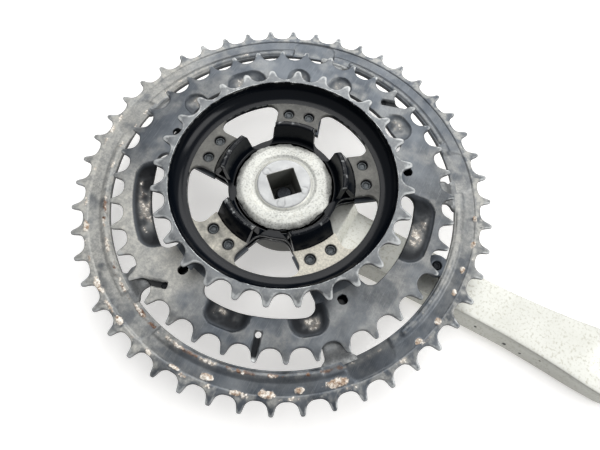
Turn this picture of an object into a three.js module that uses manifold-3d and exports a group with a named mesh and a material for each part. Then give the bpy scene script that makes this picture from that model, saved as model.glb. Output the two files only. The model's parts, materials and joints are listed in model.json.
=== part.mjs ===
// Right-hand bicycle crankset: a square-taper crank arm with three riveted chainrings.
// Units are millimetres.
// The part lies with its frame side up: +Z runs along the crank axis towards the bicycle,
// and +X runs along the arm from the crank axis to the pedal.
// Heights in the constants are measured from the middle of the outer ring's plate.
// The exported group is shifted so that its origin is the centre of the underside of its box.

import * as THREE from 'three';
import { mergeVertices } from 'three/addons/utils/BufferGeometryUtils.js';
import Module from 'manifold-3d';

const wasm = await Module();
wasm.setup();

// ---------------------------------------------------------------------------
// Driving dimensions
// ---------------------------------------------------------------------------

const GAP = 0.3;                 // clearance between neighbouring pieces
const DEG = Math.PI / 180;
const ARMS = 5;
const ARM_STEP = 360 / ARMS;
const FIRST_ARM = 36;            // direction of the first spider arm from the crank arm

const SEAT_RADIUS = 4.3;         // round bottom of the gap between two teeth
const SEAT_HALF_ANGLE = 62;      // how far the round bottom reaches up each tooth
const TIP_HALF_WIDTH = 0.8;
const BEYOND = 1;                // how far a cut runs past the faces that it opens

const OUTER = { teeth: 48, tip: 100.4, root: 94.6, bottom: -1.1, top: 1.1, tooth: 123.6 };
const MIDDLE = { teeth: 38, tip: 80.5, root: 74.2, bottom: 5.2, top: 7.4, tooth: 205.0 };
const INNER = { teeth: 28, tip: 59.4, root: 53.4, bottom: 14.9, top: 17.1, tooth: 214.9 };

// Outer ring
const OUTER_BORE = 82.5;
const OUTER_LUG = { angle: 27.5, halfWidth: 5.6, end: 66, bottom: 2.7, top: 4.9 };
const OUTER_RAMP = { start: 77, end: 81.5, lag: 0.9 };    // the lugs climb to the middle ring
const BEAD = { inside: 82.9, outside: 86.4, height: 0.8, from: 11.5, to: 58.5 };
const DROP_PIN_EYE = { radius: 79.2, angle: 0.9, outside: 5.6 };
const DROP_PIN = { shank: 1.6, collar: 3.2, edge: 0.6, length: 4.6, sunk: 0.5 };

// Middle ring
const MIDDLE_WINDOW = 62;
const MIDDLE_LUG = { halfWidth: 11, end: 34, bottom: 1.8, top: 4.0, fillet: 5 };
const MIDDLE_RAMP = { start: 45.5, end: 50, lag: 0.9 };   // the lugs sink to the spider
const GUIDE_HOLE = { radius: 59.6, outside: 2.4 };
const RAISE_PIN = { radius: 69.7, angles: [-108, 72], shank: 1.6, head: 2.8, headHeight: 1.2, edge: 0.5 };
const NOTCH_HOLE = { radius: 69.2, angle: -69.7, outside: 1.3 };

// Inner ring and its dish
const DISH = { inside: 44.7, outside: 51.6, tabBottom: 7.1, tabTop: 9.3 };
const DISH_BEND = { radius: 49.4, height: 12.4 };         // the dish is concave here
const DISH_BACK = { start: 46.8, bend: 51.2, bendHeight: 11.2, end: 53.1 };
const TAB = { halfWidth: 10.4, end: 33.4, fillet: 4.5 };

// Spider: the formed plate behind the inner ring, and the flat plate below it
const HUB_RING = { bore: 18.3, outside: 26.2, bottom: 4.3, top: 6.5 };
const CREST = { inside: 26.9, outside: 28.9, height: 17.2, edge: 0.5 };
const CREST_FOOT = { start: 24.0, bend: 25.6, bendHeight: 8.2, wall: 26.5, wallHeight: 11.0 };
const HOLLOW = { inside: 26.9, outside: 32.2, side: 7.4, narrow: [28.3, 29.4], top: 12.2 };
const PAD = { start: 33.0, end: 44, bottom: 4.3, top: 6.8, shoulder: 9.3 };
const SPIDER_ARM = { halfWidth: 9.7, fillet: 6 };
const BASE_PLATE = { bore: 20.3, outside: 25.6, end: 64, halfRoot: 9.9, halfEnd: 7.4, bottom: -1, top: 1.5 };

// Rivets
const TAB_RIVET = { radius: 38.5, offset: 7.59, shank: 2.2, top: 8.3, head: 3.6, headHeight: 0.9 };
const RING_RIVET = { radius: 70.5, shank: 2.5, top: 6.2, head: 4.4, headHeight: 0.8 };
const HEAD_EDGE = 0.5;           // chamfer of a rivet's head

// Crank arm
const ARM_LENGTH = 170;          // crank axis to pedal axis
const ARM_END = 15.4;            // radius of the pedal eye
const ARM_EDGE = 2.4;            // rounding of the arm's outboard edges
const ARM_HALF_WIDTHS = [        // distance from the crank axis, half of the arm's width
  [0, 23.5], [13, 19.6], [24, 15.4], [36, 13.9], [80, 13.0], [120, 13.0], [146, 14.2],
];
const ARM_BACK = -21.5;          // outboard face of the boss and the pedal eye
const ARM_FACE = { near: -7.2, far: -8.6, level: 150 };  // the frame-side face sinks, then stays level
const ARM_RELIEF = { start: 30, deep: 70, end: 115, level: 150, depth: 1.6 };  // outboard hollow
const BOSS_PAD = -1.3;           // height of the pad that carries the spider
const BOSS_RADIUS = 24;
const STEP = { top: 32.5, foot: 35.6 };                  // slope between the pad and the arm
const NECK = { base: 20, shoulder: 4.0, top: 18 };
const LIP = { radius: 22.6, under: 6.8, corner: 0.4, edge: 7.5, shoulder: 9.3, shoulderRadius: 19.4 };
const FACE_HEIGHT = 9.5;
const GROOVE = { inside: 12.9, outside: 14.3, depth: 0.7, slope: 0.4 };
const SQUARE = { face: 13.1, seat: 12.2, seatZ: -6.5, turn: 181.6 };
const PEDAL_BORE = 7.15;
const PEDAL_SPOT = { radius: 10.5, depth: 0.5 };

// Fixing bolt and cover in the outboard recess
const RECESS = { radius: 11, floor: -8.5 };
const WASHER = { outside: 8.6, inside: 4.4, thick: 1.5 };
const BOLT = { shank: 4, hole: 4.4, headRadius: 7.2, flange: 8.2, flangeHeight: 1.2, head: 6.5, tip: 8.5 };
const BOLT_EDGE = 0.8;
const KEY = { halfFlats: 4, depth: 4.5 };
const CAP = { radius: 10.6, depth: 4.6, wall: 1.4, face: 1.6, sunk: 0.4, slot: 1.2, edge: 0.7 };

// ---------------------------------------------------------------------------
// Small geometry helpers
// ---------------------------------------------------------------------------

const CENTRE = new THREE.Vector2();

function polar(radius, degrees) {
  return new THREE.Vector2(radius * Math.cos(degrees * DEG), radius * Math.sin(degrees * DEG));
}

function armAngles(first = FIRST_ARM) {
  return Array.from({ length: ARMS }, (_, i) => first + i * ARM_STEP);
}

// A closed three.js geometry as a manifold solid.
function solid(geometry) {
  geometry.deleteAttribute('normal');
  geometry.deleteAttribute('uv');
  const merged = mergeVertices(geometry, 1e-4);
  return new wasm.Manifold(new wasm.Mesh({
    numProp: 3,
    vertProperties: new Float32Array(merged.attributes.position.array),
    triVerts: new Uint32Array(merged.index.array),
  }));
}

// An outline of points as an upright prism between two heights.
function prism(points, bottom, top) {
  const geometry = new THREE.ExtrudeGeometry(new THREE.Shape(points), {
    depth: top - bottom,
    bevelEnabled: false,
  });
  geometry.translate(0, 0, bottom);
  return solid(geometry);
}

// A closed profile of [radius, height] pairs, turned about the Z axis.
// The pairs run anticlockwise, with the radius to the right and the height up.
function turned(profile, segments = 48) {
  const points = profile.map(([radius, height]) => new THREE.Vector2(radius, height));
  points.push(points[0].clone());
  const geometry = new THREE.LatheGeometry(points, segments);
  geometry.rotateX(Math.PI / 2);
  return solid(geometry);
}

function cylinder(radius, bottom, top, at = CENTRE, segments = 12) {
  const geometry = new THREE.CylinderGeometry(radius, radius, top - bottom, segments);
  geometry.rotateX(Math.PI / 2);
  geometry.translate(at.x, at.y, (bottom + top) / 2);
  return solid(geometry);
}

// A bar along a spider arm's direction: a profile of [radius, height] pairs given a width.
function bar(profile, halfWidth, degrees) {
  const shape = new THREE.Shape(profile.map(([radius, height]) => new THREE.Vector2(radius, height)));
  const geometry = new THREE.ExtrudeGeometry(shape, { depth: 2 * halfWidth, bevelEnabled: false });
  geometry.translate(0, 0, -halfWidth);
  geometry.rotateX(Math.PI / 2);
  geometry.rotateZ(degrees * DEG);
  return solid(geometry);
}

function cutAll(body, tools) {
  return tools.reduce((left, tool) => left.subtract(tool), body);
}

function joinAll(parts) {
  return parts.reduce((left, part) => left.add(part));
}

// Points of an arc from one angle to another, in degrees, both ends included.
function arc(centre, radius, from, to, steps) {
  return Array.from({ length: steps + 1 }, (_, i) => {
    const angle = from + ((to - from) * i) / steps;
    return polar(radius, angle).add(centre);
  });
}

function turnPoints(points, degrees) {
  return points.map((point) => point.clone().rotateAround(CENTRE, degrees * DEG));
}

// ---------------------------------------------------------------------------
// Outlines
// ---------------------------------------------------------------------------

// Sprocket outline: round seats between the teeth, joined by flanks to blunt tips.
function sprocketOutline(ring) {
  const step = 360 / ring.teeth;
  const points = [];
  for (let i = 0; i < ring.teeth; i += 1) {
    const gap = ring.tooth + (i + 0.5) * step;
    const seat = polar(ring.root + SEAT_RADIUS, gap);
    const inward = gap + 180;
    points.push(...arc(seat, SEAT_RADIUS, inward + SEAT_HALF_ANGLE, inward - SEAT_HALF_ANGLE, 3));
    const tooth = ring.tooth + (i + 1) * step;
    const halfTip = (TIP_HALF_WIDTH / ring.tip) / DEG;
    points.push(polar(ring.tip, tooth - halfTip));
    points.push(polar(ring.tip, tooth + halfTip));
  }
  return points;
}

// Half of the corner between a circle and a straight arm edge parallel to the arm's axis.
// Seen from the arm's axis, the fillet's centre is at a height of halfWidth plus the fillet radius.
function armFillet(circle, halfWidth, fillet, outside) {
  const reach = outside ? circle + fillet : circle - fillet;
  const height = halfWidth + fillet;
  return new THREE.Vector2(Math.sqrt(reach * reach - height * height), height);
}

// A disc with straight-sided arms that reach outwards.
function starOutline(circle, halfWidth, halfEnd, end, fillet, first) {
  const points = [];
  const centre = armFillet(circle, halfWidth, fillet, true);
  const lean = Math.atan2(centre.y, centre.x) / DEG;
  for (const angle of armAngles(first)) {
    const arm = [
      ...arc(new THREE.Vector2(centre.x, -centre.y), fillet, 180 - lean, 90, 3),
      new THREE.Vector2(end, -halfEnd),
      new THREE.Vector2(end, halfEnd),
      ...arc(centre, fillet, 270, 180 + lean, 3),
    ];
    points.push(...turnPoints(arm, angle));
    const next = angle + ARM_STEP;
    points.push(...arc(CENTRE, circle, angle + lean, next - lean, 4).slice(1, -1));
  }
  return points;
}

// A round hole with straight-sided lugs that reach inwards to a smaller circle.
function luggedHoleOutline(circle, halfWidth, end, fillet, first) {
  const points = [];
  const centre = armFillet(circle, halfWidth, fillet, false);
  const lean = Math.atan2(centre.y, centre.x) / DEG;
  const tipAngle = Math.asin(halfWidth / end) / DEG;
  for (const angle of armAngles(first)) {
    const lug = [
      ...arc(new THREE.Vector2(centre.x, -centre.y), fillet, -lean, 90, 3),
      ...arc(CENTRE, end, -tipAngle, tipAngle, 3),
      ...arc(centre, fillet, -90, lean, 3),
    ];
    points.push(...turnPoints(lug, angle));
    const next = angle + ARM_STEP;
    points.push(...arc(CENTRE, circle, angle + lean, next - lean, 7).slice(1, -1));
  }
  return points;
}

// A curved bead with round ends, from just past one spider arm to just before the next.
function beadOutline(armAngle) {
  const from = armAngle + BEAD.from;
  const to = armAngle + BEAD.to;
  const middle = (BEAD.inside + BEAD.outside) / 2;
  const half = (BEAD.outside - BEAD.inside) / 2;
  return [
    ...arc(CENTRE, BEAD.outside, from, to, 12),
    ...arc(polar(middle, to), half, to, to + 180, 4).slice(1, -1),
    ...arc(CENTRE, BEAD.inside, to, from, 12),
    ...arc(polar(middle, from), half, from + 180, from + 360, 4).slice(1, -1),
  ];
}

function circleOutline(radius, segments) {
  return arc(CENTRE, radius, 0, 360, segments).slice(0, -1);
}

// ---------------------------------------------------------------------------
// Chainrings
// ---------------------------------------------------------------------------

function toothedRing(ring, hole) {
  const blank = prism(sprocketOutline(ring), ring.bottom, ring.top);
  return blank.subtract(prism(hole, ring.bottom - BEYOND, ring.top + BEYOND));
}

function outerRing() {
  const { bottom, top } = OUTER;
  const lug = OUTER_LUG;
  const ramp = OUTER_RAMP;
  const lugs = armAngles(lug.angle).map((angle) => bar([
    [lug.end, lug.bottom],
    [ramp.start, lug.bottom],
    [ramp.end, bottom],
    [OUTER_BORE + BEYOND, bottom],
    [OUTER_BORE + BEYOND, top],
    [ramp.end + ramp.lag, top],
    [ramp.start + ramp.lag, lug.top],
    [lug.end, lug.top],
  ], lug.halfWidth, angle));
  const plate = toothedRing(OUTER, circleOutline(OUTER_BORE, 60));
  const beads = armAngles().map((angle) => prism(beadOutline(angle), 0, top + BEAD.height));
  const eye = polar(DROP_PIN_EYE.radius, DROP_PIN_EYE.angle);
  const eyePlate = cylinder(DROP_PIN_EYE.outside, bottom, top, eye, 16);
  const rivetHoles = armAngles(lug.angle).map((angle) => cylinder(
    RING_RIVET.shank + GAP,
    lug.bottom - BEYOND,
    lug.top + BEYOND,
    polar(RING_RIVET.radius, angle),
  ));
  return cutAll(joinAll([plate, ...lugs, ...beads, eyePlate]), [
    ...rivetHoles,
    cylinder(DROP_PIN.shank + GAP, bottom - BEYOND, top + BEYOND, eye, 16),
  ]);
}

function middleRing() {
  const { bottom, top } = MIDDLE;
  const lug = MIDDLE_LUG;
  const ramp = MIDDLE_RAMP;
  const overlap = ramp.end + 2 * BEYOND;
  const lugs = armAngles().map((angle) => bar([
    [lug.end, lug.bottom],
    [ramp.start, lug.bottom],
    [ramp.end, bottom],
    [overlap, bottom],
    [overlap, top],
    [ramp.end - ramp.lag, top],
    [ramp.start - ramp.lag, lug.top],
    [lug.end, lug.top],
  ], lug.halfWidth, angle));
  const hole = luggedHoleOutline(MIDDLE_WINDOW, lug.halfWidth, ramp.end + BEYOND, lug.fillet, FIRST_ARM);
  const body = joinAll([toothedRing(MIDDLE, hole), ...lugs]);
  const through = (radius, at) => cylinder(radius, bottom - BEYOND, top + BEYOND, at);
  return cutAll(body, [
    ...tabRivetHoles(lug.bottom, lug.top),
    ...armAngles().map((angle) => through(GUIDE_HOLE.outside, polar(GUIDE_HOLE.radius, angle))),
    ...armAngles(OUTER_LUG.angle).map((angle) => cylinder(
      RING_RIVET.shank + GAP,
      bottom - BEYOND,
      RING_RIVET.top + GAP,
      polar(RING_RIVET.radius, angle),
    )),
    ...RAISE_PIN.angles.map((angle) => through(RAISE_PIN.shank + GAP, polar(RAISE_PIN.radius, angle))),
    through(NOTCH_HOLE.outside, polar(NOTCH_HOLE.radius, NOTCH_HOLE.angle)),
  ]);
}

function innerRing() {
  const { bottom, top } = INNER;
  const dish = turned([
    [TAB.end - BEYOND, DISH.tabBottom],
    [DISH_BACK.start, DISH.tabBottom],
    [DISH_BACK.bend, DISH_BACK.bendHeight],
    [DISH_BACK.end, bottom],
    [DISH_BACK.end, top],
    [DISH.outside, top],
    [DISH_BEND.radius, DISH_BEND.height],
    [DISH.inside, DISH.tabTop],
    [TAB.end - BEYOND, DISH.tabTop],
  ], 60);
  const hole = luggedHoleOutline(DISH.inside, TAB.halfWidth, TAB.end, TAB.fillet, FIRST_ARM);
  const rim = (DISH.outside + DISH_BACK.end) / 2;
  return cutAll(toothedRing(INNER, circleOutline(rim, 60)).add(dish), [
    prism(hole, DISH.tabBottom - BEYOND, top + BEYOND),
    ...tabRivetHoles(DISH.tabBottom, DISH.tabTop),
  ]);
}

// ---------------------------------------------------------------------------
// Spider
// ---------------------------------------------------------------------------

function spider() {
  const formed = turned([
    [HUB_RING.bore, HUB_RING.bottom],
    [HOLLOW.inside, HUB_RING.bottom],
    [HOLLOW.narrow[0], HOLLOW.top],
    [HOLLOW.narrow[1], HOLLOW.top],
    [HOLLOW.outside, HOLLOW.side],
    [HOLLOW.outside, PAD.bottom],
    [PAD.end, PAD.bottom],
    [PAD.end, PAD.top],
    [PAD.start, PAD.top],
    [PAD.start, PAD.shoulder],
    [CREST.outside, CREST.height - CREST.edge],
    [CREST.outside - CREST.edge, CREST.height],
    [CREST.inside + CREST.edge, CREST.height],
    [CREST.inside, CREST.height - CREST.edge],
    [CREST_FOOT.wall, CREST_FOOT.wallHeight],
    [CREST_FOOT.bend, CREST_FOOT.bendHeight],
    [CREST_FOOT.start, HUB_RING.top],
    [HUB_RING.bore, HUB_RING.top],
  ]);
  const { halfWidth, fillet } = SPIDER_ARM;
  const star = starOutline(HUB_RING.outside, halfWidth, halfWidth, PAD.end + BEYOND, fillet, FIRST_ARM);
  const blank = prism(star, PAD.bottom - BEYOND, CREST.height + BEYOND);
  return cutAll(formed.intersect(blank), tabRivetHoles(PAD.bottom, PAD.top));
}

function basePlate() {
  const { outside, halfRoot, halfEnd, end, bore, bottom, top } = BASE_PLATE;
  const star = starOutline(outside, halfRoot, halfEnd, end, SPIDER_ARM.fillet, FIRST_ARM);
  return cutAll(prism(star, bottom, top), [
    cylinder(bore, bottom - BEYOND, top + BEYOND, CENTRE, 32),
    ...tabRivetHoles(bottom, top),
  ]);
}

// ---------------------------------------------------------------------------
// Rivets and pins
// ---------------------------------------------------------------------------

function tabRivetPlaces() {
  const angles = armAngles().flatMap((arm) => [arm - TAB_RIVET.offset, arm + TAB_RIVET.offset]);
  return angles.map((angle) => polar(TAB_RIVET.radius, angle));
}

function tabRivetHoles(bottom, top) {
  const hole = TAB_RIVET.shank + GAP;
  return tabRivetPlaces().map((at) => cylinder(hole, bottom - BEYOND, top + BEYOND, at));
}

// A headed shank: the head hangs below a plate, and the shank stands up through it.
function headedPin(shank, top, head, headHeight, under, edge, segments) {
  return turned([
    [0, under - headHeight],
    [head - edge, under - headHeight],
    [head, under - headHeight + edge],
    [head, under],
    [shank, under],
    [shank, top],
    [0, top],
  ], segments);
}

function tabRivet() {
  const { shank, top, head, headHeight } = TAB_RIVET;
  return headedPin(shank, top, head, headHeight, BASE_PLATE.bottom - GAP, HEAD_EDGE, 10);
}

function ringRivet() {
  const { shank, top, head, headHeight } = RING_RIVET;
  return headedPin(shank, top, head, headHeight, OUTER_LUG.bottom - GAP, HEAD_EDGE, 10);
}

// A pin that lifts the chain: a shank through the ring with a head on its outboard face.
function raisePin() {
  const { shank, head, headHeight, edge } = RAISE_PIN;
  return headedPin(shank, MIDDLE.top - edge, head, headHeight, MIDDLE.bottom - GAP, edge, 10);
}

// The pin that keeps a dropped chain out of the gap between the outer ring and the arm.
function chainDropPin() {
  const { shank, collar, edge, length, sunk } = DROP_PIN;
  return headedPin(shank, OUTER.top - sunk, collar, length, OUTER.bottom - GAP, edge, 16);
}

// ---------------------------------------------------------------------------
// Crank arm
// ---------------------------------------------------------------------------

// The arm seen from the frame side: its edges narrow from the boss, then widen to the pedal eye.
function armOutline(inset) {
  const top = ARM_HALF_WIDTHS.map(([x, y]) => new THREE.Vector2(x, y - inset));
  const end = arc(new THREE.Vector2(ARM_LENGTH, 0), ARM_END - inset, 96, -96, 10);
  const low = ARM_HALF_WIDTHS.map(([x, y]) => new THREE.Vector2(x, inset - y)).reverse();
  const back = arc(CENTRE, BOSS_RADIUS - inset, 268, 92, 14);
  return [...top, ...end, ...low, ...back].reverse();
}

// The arm seen from its edge, as a profile in X and Z.
function armSideProfile() {
  const left = -2 * BOSS_RADIUS;
  const right = ARM_LENGTH + 2 * ARM_END;
  const { start, deep, end, level, depth } = ARM_RELIEF;
  return [
    [left, ARM_BACK],
    [start, ARM_BACK],
    [deep, ARM_BACK + depth],
    [end, ARM_BACK + depth],
    [level, ARM_BACK],
    [right, ARM_BACK],
    [right, ARM_FACE.far],
    [ARM_FACE.level, ARM_FACE.far],
    [STEP.foot, ARM_FACE.near],
    [STEP.top, BOSS_PAD],
    [left, BOSS_PAD],
  ].map(([x, z]) => new THREE.Vector2(x, z));
}

// The square taper: wide at the frame side, narrower towards the bolt's seat.
function squareTaper() {
  const slope = (SQUARE.face - SQUARE.seat) / (FACE_HEIGHT - SQUARE.seatZ);
  const top = FACE_HEIGHT + BEYOND;
  const wide = (SQUARE.face + slope * BEYOND) / Math.SQRT2;
  const narrow = SQUARE.seat / Math.SQRT2;
  const geometry = new THREE.CylinderGeometry(wide, narrow, top - SQUARE.seatZ, 4);
  geometry.rotateX(Math.PI / 2);
  geometry.rotateZ(SQUARE.turn * DEG);
  geometry.translate(0, 0, (top + SQUARE.seatZ) / 2);
  return solid(geometry);
}

function armBody() {
  const blank = new THREE.ExtrudeGeometry(new THREE.Shape(armOutline(ARM_EDGE)), {
    depth: BOSS_PAD - ARM_BACK,
    bevelThickness: ARM_EDGE,
    bevelSize: ARM_EDGE,
    bevelSegments: 2,
  });
  blank.translate(0, 0, ARM_BACK + ARM_EDGE);
  const width = 4 * BOSS_RADIUS;
  const side = new THREE.ExtrudeGeometry(new THREE.Shape(armSideProfile()), {
    depth: width,
    bevelEnabled: false,
  });
  side.translate(0, 0, -width / 2);
  side.rotateX(Math.PI / 2);
  return solid(blank).intersect(solid(side));
}

// The boss's neck goes up through the spider, and its lip is spread over the spider's hub ring.
function boss() {
  const inside = BOSS_RADIUS - 2 * BEYOND;
  const grooveFloor = LIP.shoulder - GROOVE.depth;
  return turned([
    [0, RECESS.floor],
    [inside, RECESS.floor],
    [inside, BOSS_PAD],
    [NECK.base, BOSS_PAD],
    [NECK.base, NECK.shoulder],
    [NECK.top, NECK.shoulder],
    [NECK.top, LIP.under],
    [LIP.radius - LIP.corner, LIP.under],
    [LIP.radius, LIP.under + LIP.corner],
    [LIP.radius, LIP.edge],
    [LIP.shoulderRadius, LIP.shoulder],
    [GROOVE.outside, LIP.shoulder],
    [GROOVE.outside - GROOVE.slope, grooveFloor],
    [GROOVE.inside + GROOVE.slope, grooveFloor],
    [GROOVE.inside, FACE_HEIGHT],
    [0, FACE_HEIGHT],
  ]);
}

function crankArm() {
  const pedal = new THREE.Vector2(ARM_LENGTH, 0);
  const below = ARM_BACK - BEYOND;
  return cutAll(armBody().add(boss()), [
    squareTaper(),
    cylinder(RECESS.radius, below, RECESS.floor, CENTRE, 40),
    cylinder(BOLT.hole, RECESS.floor - BEYOND, SQUARE.seatZ + BEYOND, CENTRE, 24),
    cylinder(PEDAL_BORE, below, ARM_FACE.far + BEYOND, pedal, 36),
    cylinder(PEDAL_SPOT.radius, below, ARM_BACK + PEDAL_SPOT.depth, pedal, 36),
  ]);
}

// ---------------------------------------------------------------------------
// Fixing bolt, washer and cover
// ---------------------------------------------------------------------------

function boltWasher() {
  const top = RECESS.floor - GAP;
  return turned([
    [WASHER.inside, top - WASHER.thick],
    [WASHER.outside, top - WASHER.thick],
    [WASHER.outside, top],
    [WASHER.inside, top],
  ], 32);
}

function boltSeat() {
  return RECESS.floor - WASHER.thick - 2 * GAP;
}

function fixingBolt() {
  const seat = boltSeat();
  const end = seat - BOLT.head;
  const body = turned([
    [0, end],
    [BOLT.headRadius - BOLT_EDGE, end],
    [BOLT.headRadius, end + BOLT_EDGE],
    [BOLT.headRadius, seat - BOLT.flangeHeight],
    [BOLT.flange, seat - BOLT.flangeHeight],
    [BOLT.flange, seat],
    [BOLT.shank, seat],
    [BOLT.shank, seat + BOLT.tip],
    [BOLT.shank - BOLT_EDGE, seat + BOLT.tip + BOLT_EDGE],
    [0, seat + BOLT.tip + BOLT_EDGE],
  ], 24);
  const corner = KEY.halfFlats / Math.cos(30 * DEG);
  const key = new THREE.CylinderGeometry(corner, corner, 2 * KEY.depth, 6);
  key.rotateX(Math.PI / 2);
  key.translate(0, 0, end);
  return body.subtract(solid(key));
}

// A cup that fills the mouth of the recess, with a coin slot across its face.
function dustCap() {
  const face = ARM_BACK + CAP.sunk;
  const inside = CAP.radius - CAP.wall;
  const cup = turned([
    [0, face],
    [CAP.radius - CAP.edge, face],
    [CAP.radius, face + CAP.edge],
    [CAP.radius, face + CAP.depth],
    [inside, face + CAP.depth],
    [inside, face + CAP.face],
    [0, face + CAP.face],
  ], 32);
  const slot = new THREE.BoxGeometry(CAP.radius, CAP.slot, CAP.slot);
  slot.translate(0, 0, face);
  return cup.subtract(solid(slot));
}

// ---------------------------------------------------------------------------
// Assembly
// ---------------------------------------------------------------------------

const FINISH = {
  silver: { color: 0xd9d8d2, roughness: 0.42, metalness: 0.55 },
  black: { color: 0x1b1d21, roughness: 0.28, metalness: 0.2 },
  steel: { color: 0x56585a, roughness: 0.5, metalness: 0.6 },
  rivet: { color: 0x8a8b8c, roughness: 0.45, metalness: 0.8 },
  plastic: { color: 0x17181a, roughness: 0.55, metalness: 0.0 },
};

const crankset = new THREE.Group();
const assembly = new THREE.Group();
crankset.add(assembly);

function add(name, body, finish, at = CENTRE) {
  const mesh = body.getMesh();
  const geometry = new THREE.BufferGeometry();
  geometry.setAttribute('position', new THREE.BufferAttribute(mesh.vertProperties, 3));
  geometry.setIndex(new THREE.BufferAttribute(mesh.triVerts, 1));
  geometry.computeVertexNormals();
  const piece = new THREE.Mesh(geometry, new THREE.MeshStandardMaterial(FINISH[finish]));
  piece.name = name;
  piece.position.set(at.x, at.y, 0);
  assembly.add(piece);
}

add('crank_arm', crankArm(), 'silver');
add('spider', spider(), 'black');
add('spider_base_plate', basePlate(), 'black');
add('inner_chainring', innerRing(), 'black');
add('middle_chainring', middleRing(), 'steel');
add('outer_chainring', outerRing(), 'steel');

tabRivetPlaces().forEach((at, i) => add(`tab_rivet_${i + 1}`, tabRivet(), 'rivet', at));
armAngles(OUTER_LUG.angle).forEach((angle, i) => {
  add(`ring_rivet_${i + 1}`, ringRivet(), 'rivet', polar(RING_RIVET.radius, angle));
});
RAISE_PIN.angles.forEach((angle, i) => {
  add(`raise_pin_${i + 1}`, raisePin(), 'steel', polar(RAISE_PIN.radius, angle));
});
add('chain_drop_pin', chainDropPin(), 'steel', polar(DROP_PIN_EYE.radius, DROP_PIN_EYE.angle));

add('bolt_washer', boltWasher(), 'rivet');
add('fixing_bolt', fixingBolt(), 'rivet');
add('dust_cap', dustCap(), 'plastic');

// Origin: the centre of the underside of the box.
const box = new THREE.Box3().setFromObject(assembly);
assembly.position.set(-(box.min.x + box.max.x) / 2, -(box.min.y + box.max.y) / 2, -box.min.z);

export default crankset;
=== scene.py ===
"""Right-hand bicycle crankset, lying outboard side down: a cast arm and three riveted chainrings.

Lengths are millimetres from the crank axis, heights are from the middle of the outer ring's plate,
and angles are degrees from the crank arm. `placed` turns them into the frame's metres.
"""
import json
import math

import bmesh
import bpy
import numpy as np
from mathutils import Matrix, Vector


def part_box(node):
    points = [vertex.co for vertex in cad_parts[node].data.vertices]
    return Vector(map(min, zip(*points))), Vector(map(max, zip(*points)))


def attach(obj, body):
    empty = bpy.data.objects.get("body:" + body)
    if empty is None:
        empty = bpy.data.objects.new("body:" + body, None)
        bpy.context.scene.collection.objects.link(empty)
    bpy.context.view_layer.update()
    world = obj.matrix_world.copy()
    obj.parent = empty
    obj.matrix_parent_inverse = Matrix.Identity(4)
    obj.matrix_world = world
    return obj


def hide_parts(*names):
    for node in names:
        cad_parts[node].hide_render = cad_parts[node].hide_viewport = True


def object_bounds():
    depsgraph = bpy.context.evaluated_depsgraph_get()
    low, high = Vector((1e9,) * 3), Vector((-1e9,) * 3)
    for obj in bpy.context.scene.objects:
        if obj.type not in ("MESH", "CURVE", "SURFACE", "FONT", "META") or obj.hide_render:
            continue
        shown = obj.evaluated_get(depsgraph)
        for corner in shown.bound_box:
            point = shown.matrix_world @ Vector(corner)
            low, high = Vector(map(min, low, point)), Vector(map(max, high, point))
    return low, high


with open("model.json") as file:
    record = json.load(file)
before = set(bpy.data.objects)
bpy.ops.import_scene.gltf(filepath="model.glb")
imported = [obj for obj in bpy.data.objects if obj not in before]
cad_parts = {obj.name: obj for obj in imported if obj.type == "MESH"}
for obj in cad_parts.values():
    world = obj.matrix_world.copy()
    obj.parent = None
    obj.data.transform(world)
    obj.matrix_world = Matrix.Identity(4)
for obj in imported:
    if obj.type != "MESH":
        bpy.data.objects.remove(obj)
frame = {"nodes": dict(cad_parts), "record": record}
cad_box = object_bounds()

MM = 0.001

# --------------------------------------------------------------------------------------------------
# Sizes, in millimetres and degrees
# --------------------------------------------------------------------------------------------------

PLATE_HALF = 1.1            # half of a ring plate's thickness
FIRST_ARM = 36.0            # the spider arms stand at 36, 108, 180, 252 and 324 degrees
FIRST_LUG = 27.5            # the outer ring's lugs stand a little before them
ARM_STEP = 72.0

# Each gap between two teeth has a short level bottom (half of it is level), then a round flank of
# radius bend that turns through reach degrees, then a straight stretch to a tip of half width tip_half.
OUTER = dict(teeth=48, tip=100.4, root=94.6, middle=0.0, tooth=123.6,
             level=0.8, bend=4.5, reach=62.0, tip_half=1.1)
MIDDLE = dict(teeth=38, tip=80.5, root=74.2, middle=6.3, tooth=205.0,
              level=0.5, bend=4.5, reach=64.0, tip_half=1.0)
INNER = dict(teeth=28, tip=59.4, root=53.4, middle=16.0, tooth=214.9,
             level=0.3, bend=4.3, reach=62.0, tip_half=1.15)

AXIS_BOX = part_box("fixing_bolt")
AXIS_X = (AXIS_BOX[0][0] + AXIS_BOX[1][0]) / 2
AXIS_Y = (AXIS_BOX[0][1] + AXIS_BOX[1][1]) / 2
BASE_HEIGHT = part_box("outer_chainring")[0][2] + PLATE_HALF * MM


def placed(x, y, z):
    """Millimetres on the crank axis to metres in the frame, as an array of points."""
    points = np.stack(np.broadcast_arrays(x, y, z), axis=-1) * MM
    return points + np.array([AXIS_X, AXIS_Y, BASE_HEIGHT])


# --------------------------------------------------------------------------------------------------
# Camera, floor and light
# --------------------------------------------------------------------------------------------------

def aimed(azimuth, elevation, roll=0.0):
    """Rotation of a camera or lamp that looks down its -Z axis from that direction."""
    turn = Matrix.Rotation(math.radians(azimuth), 3, "Z")
    tilt = Matrix.Rotation(math.radians(90.0 - elevation), 3, "X")
    spin = Matrix.Rotation(math.radians(roll), 3, "Z")
    return (turn @ tilt @ spin).to_euler()


def outwards(azimuth, elevation):
    """Unit vector from the target towards the viewer."""
    a, e = math.radians(azimuth), math.radians(elevation)
    return Vector((math.sin(a) * math.cos(e), -math.cos(a) * math.cos(e), math.sin(e)))


CAMERA = dict(azimuth=24.76, elevation=68.56, roll=3.94, distance=208.2, aim=(14.89, -11.31, 0.0), lens=26.52)


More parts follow.
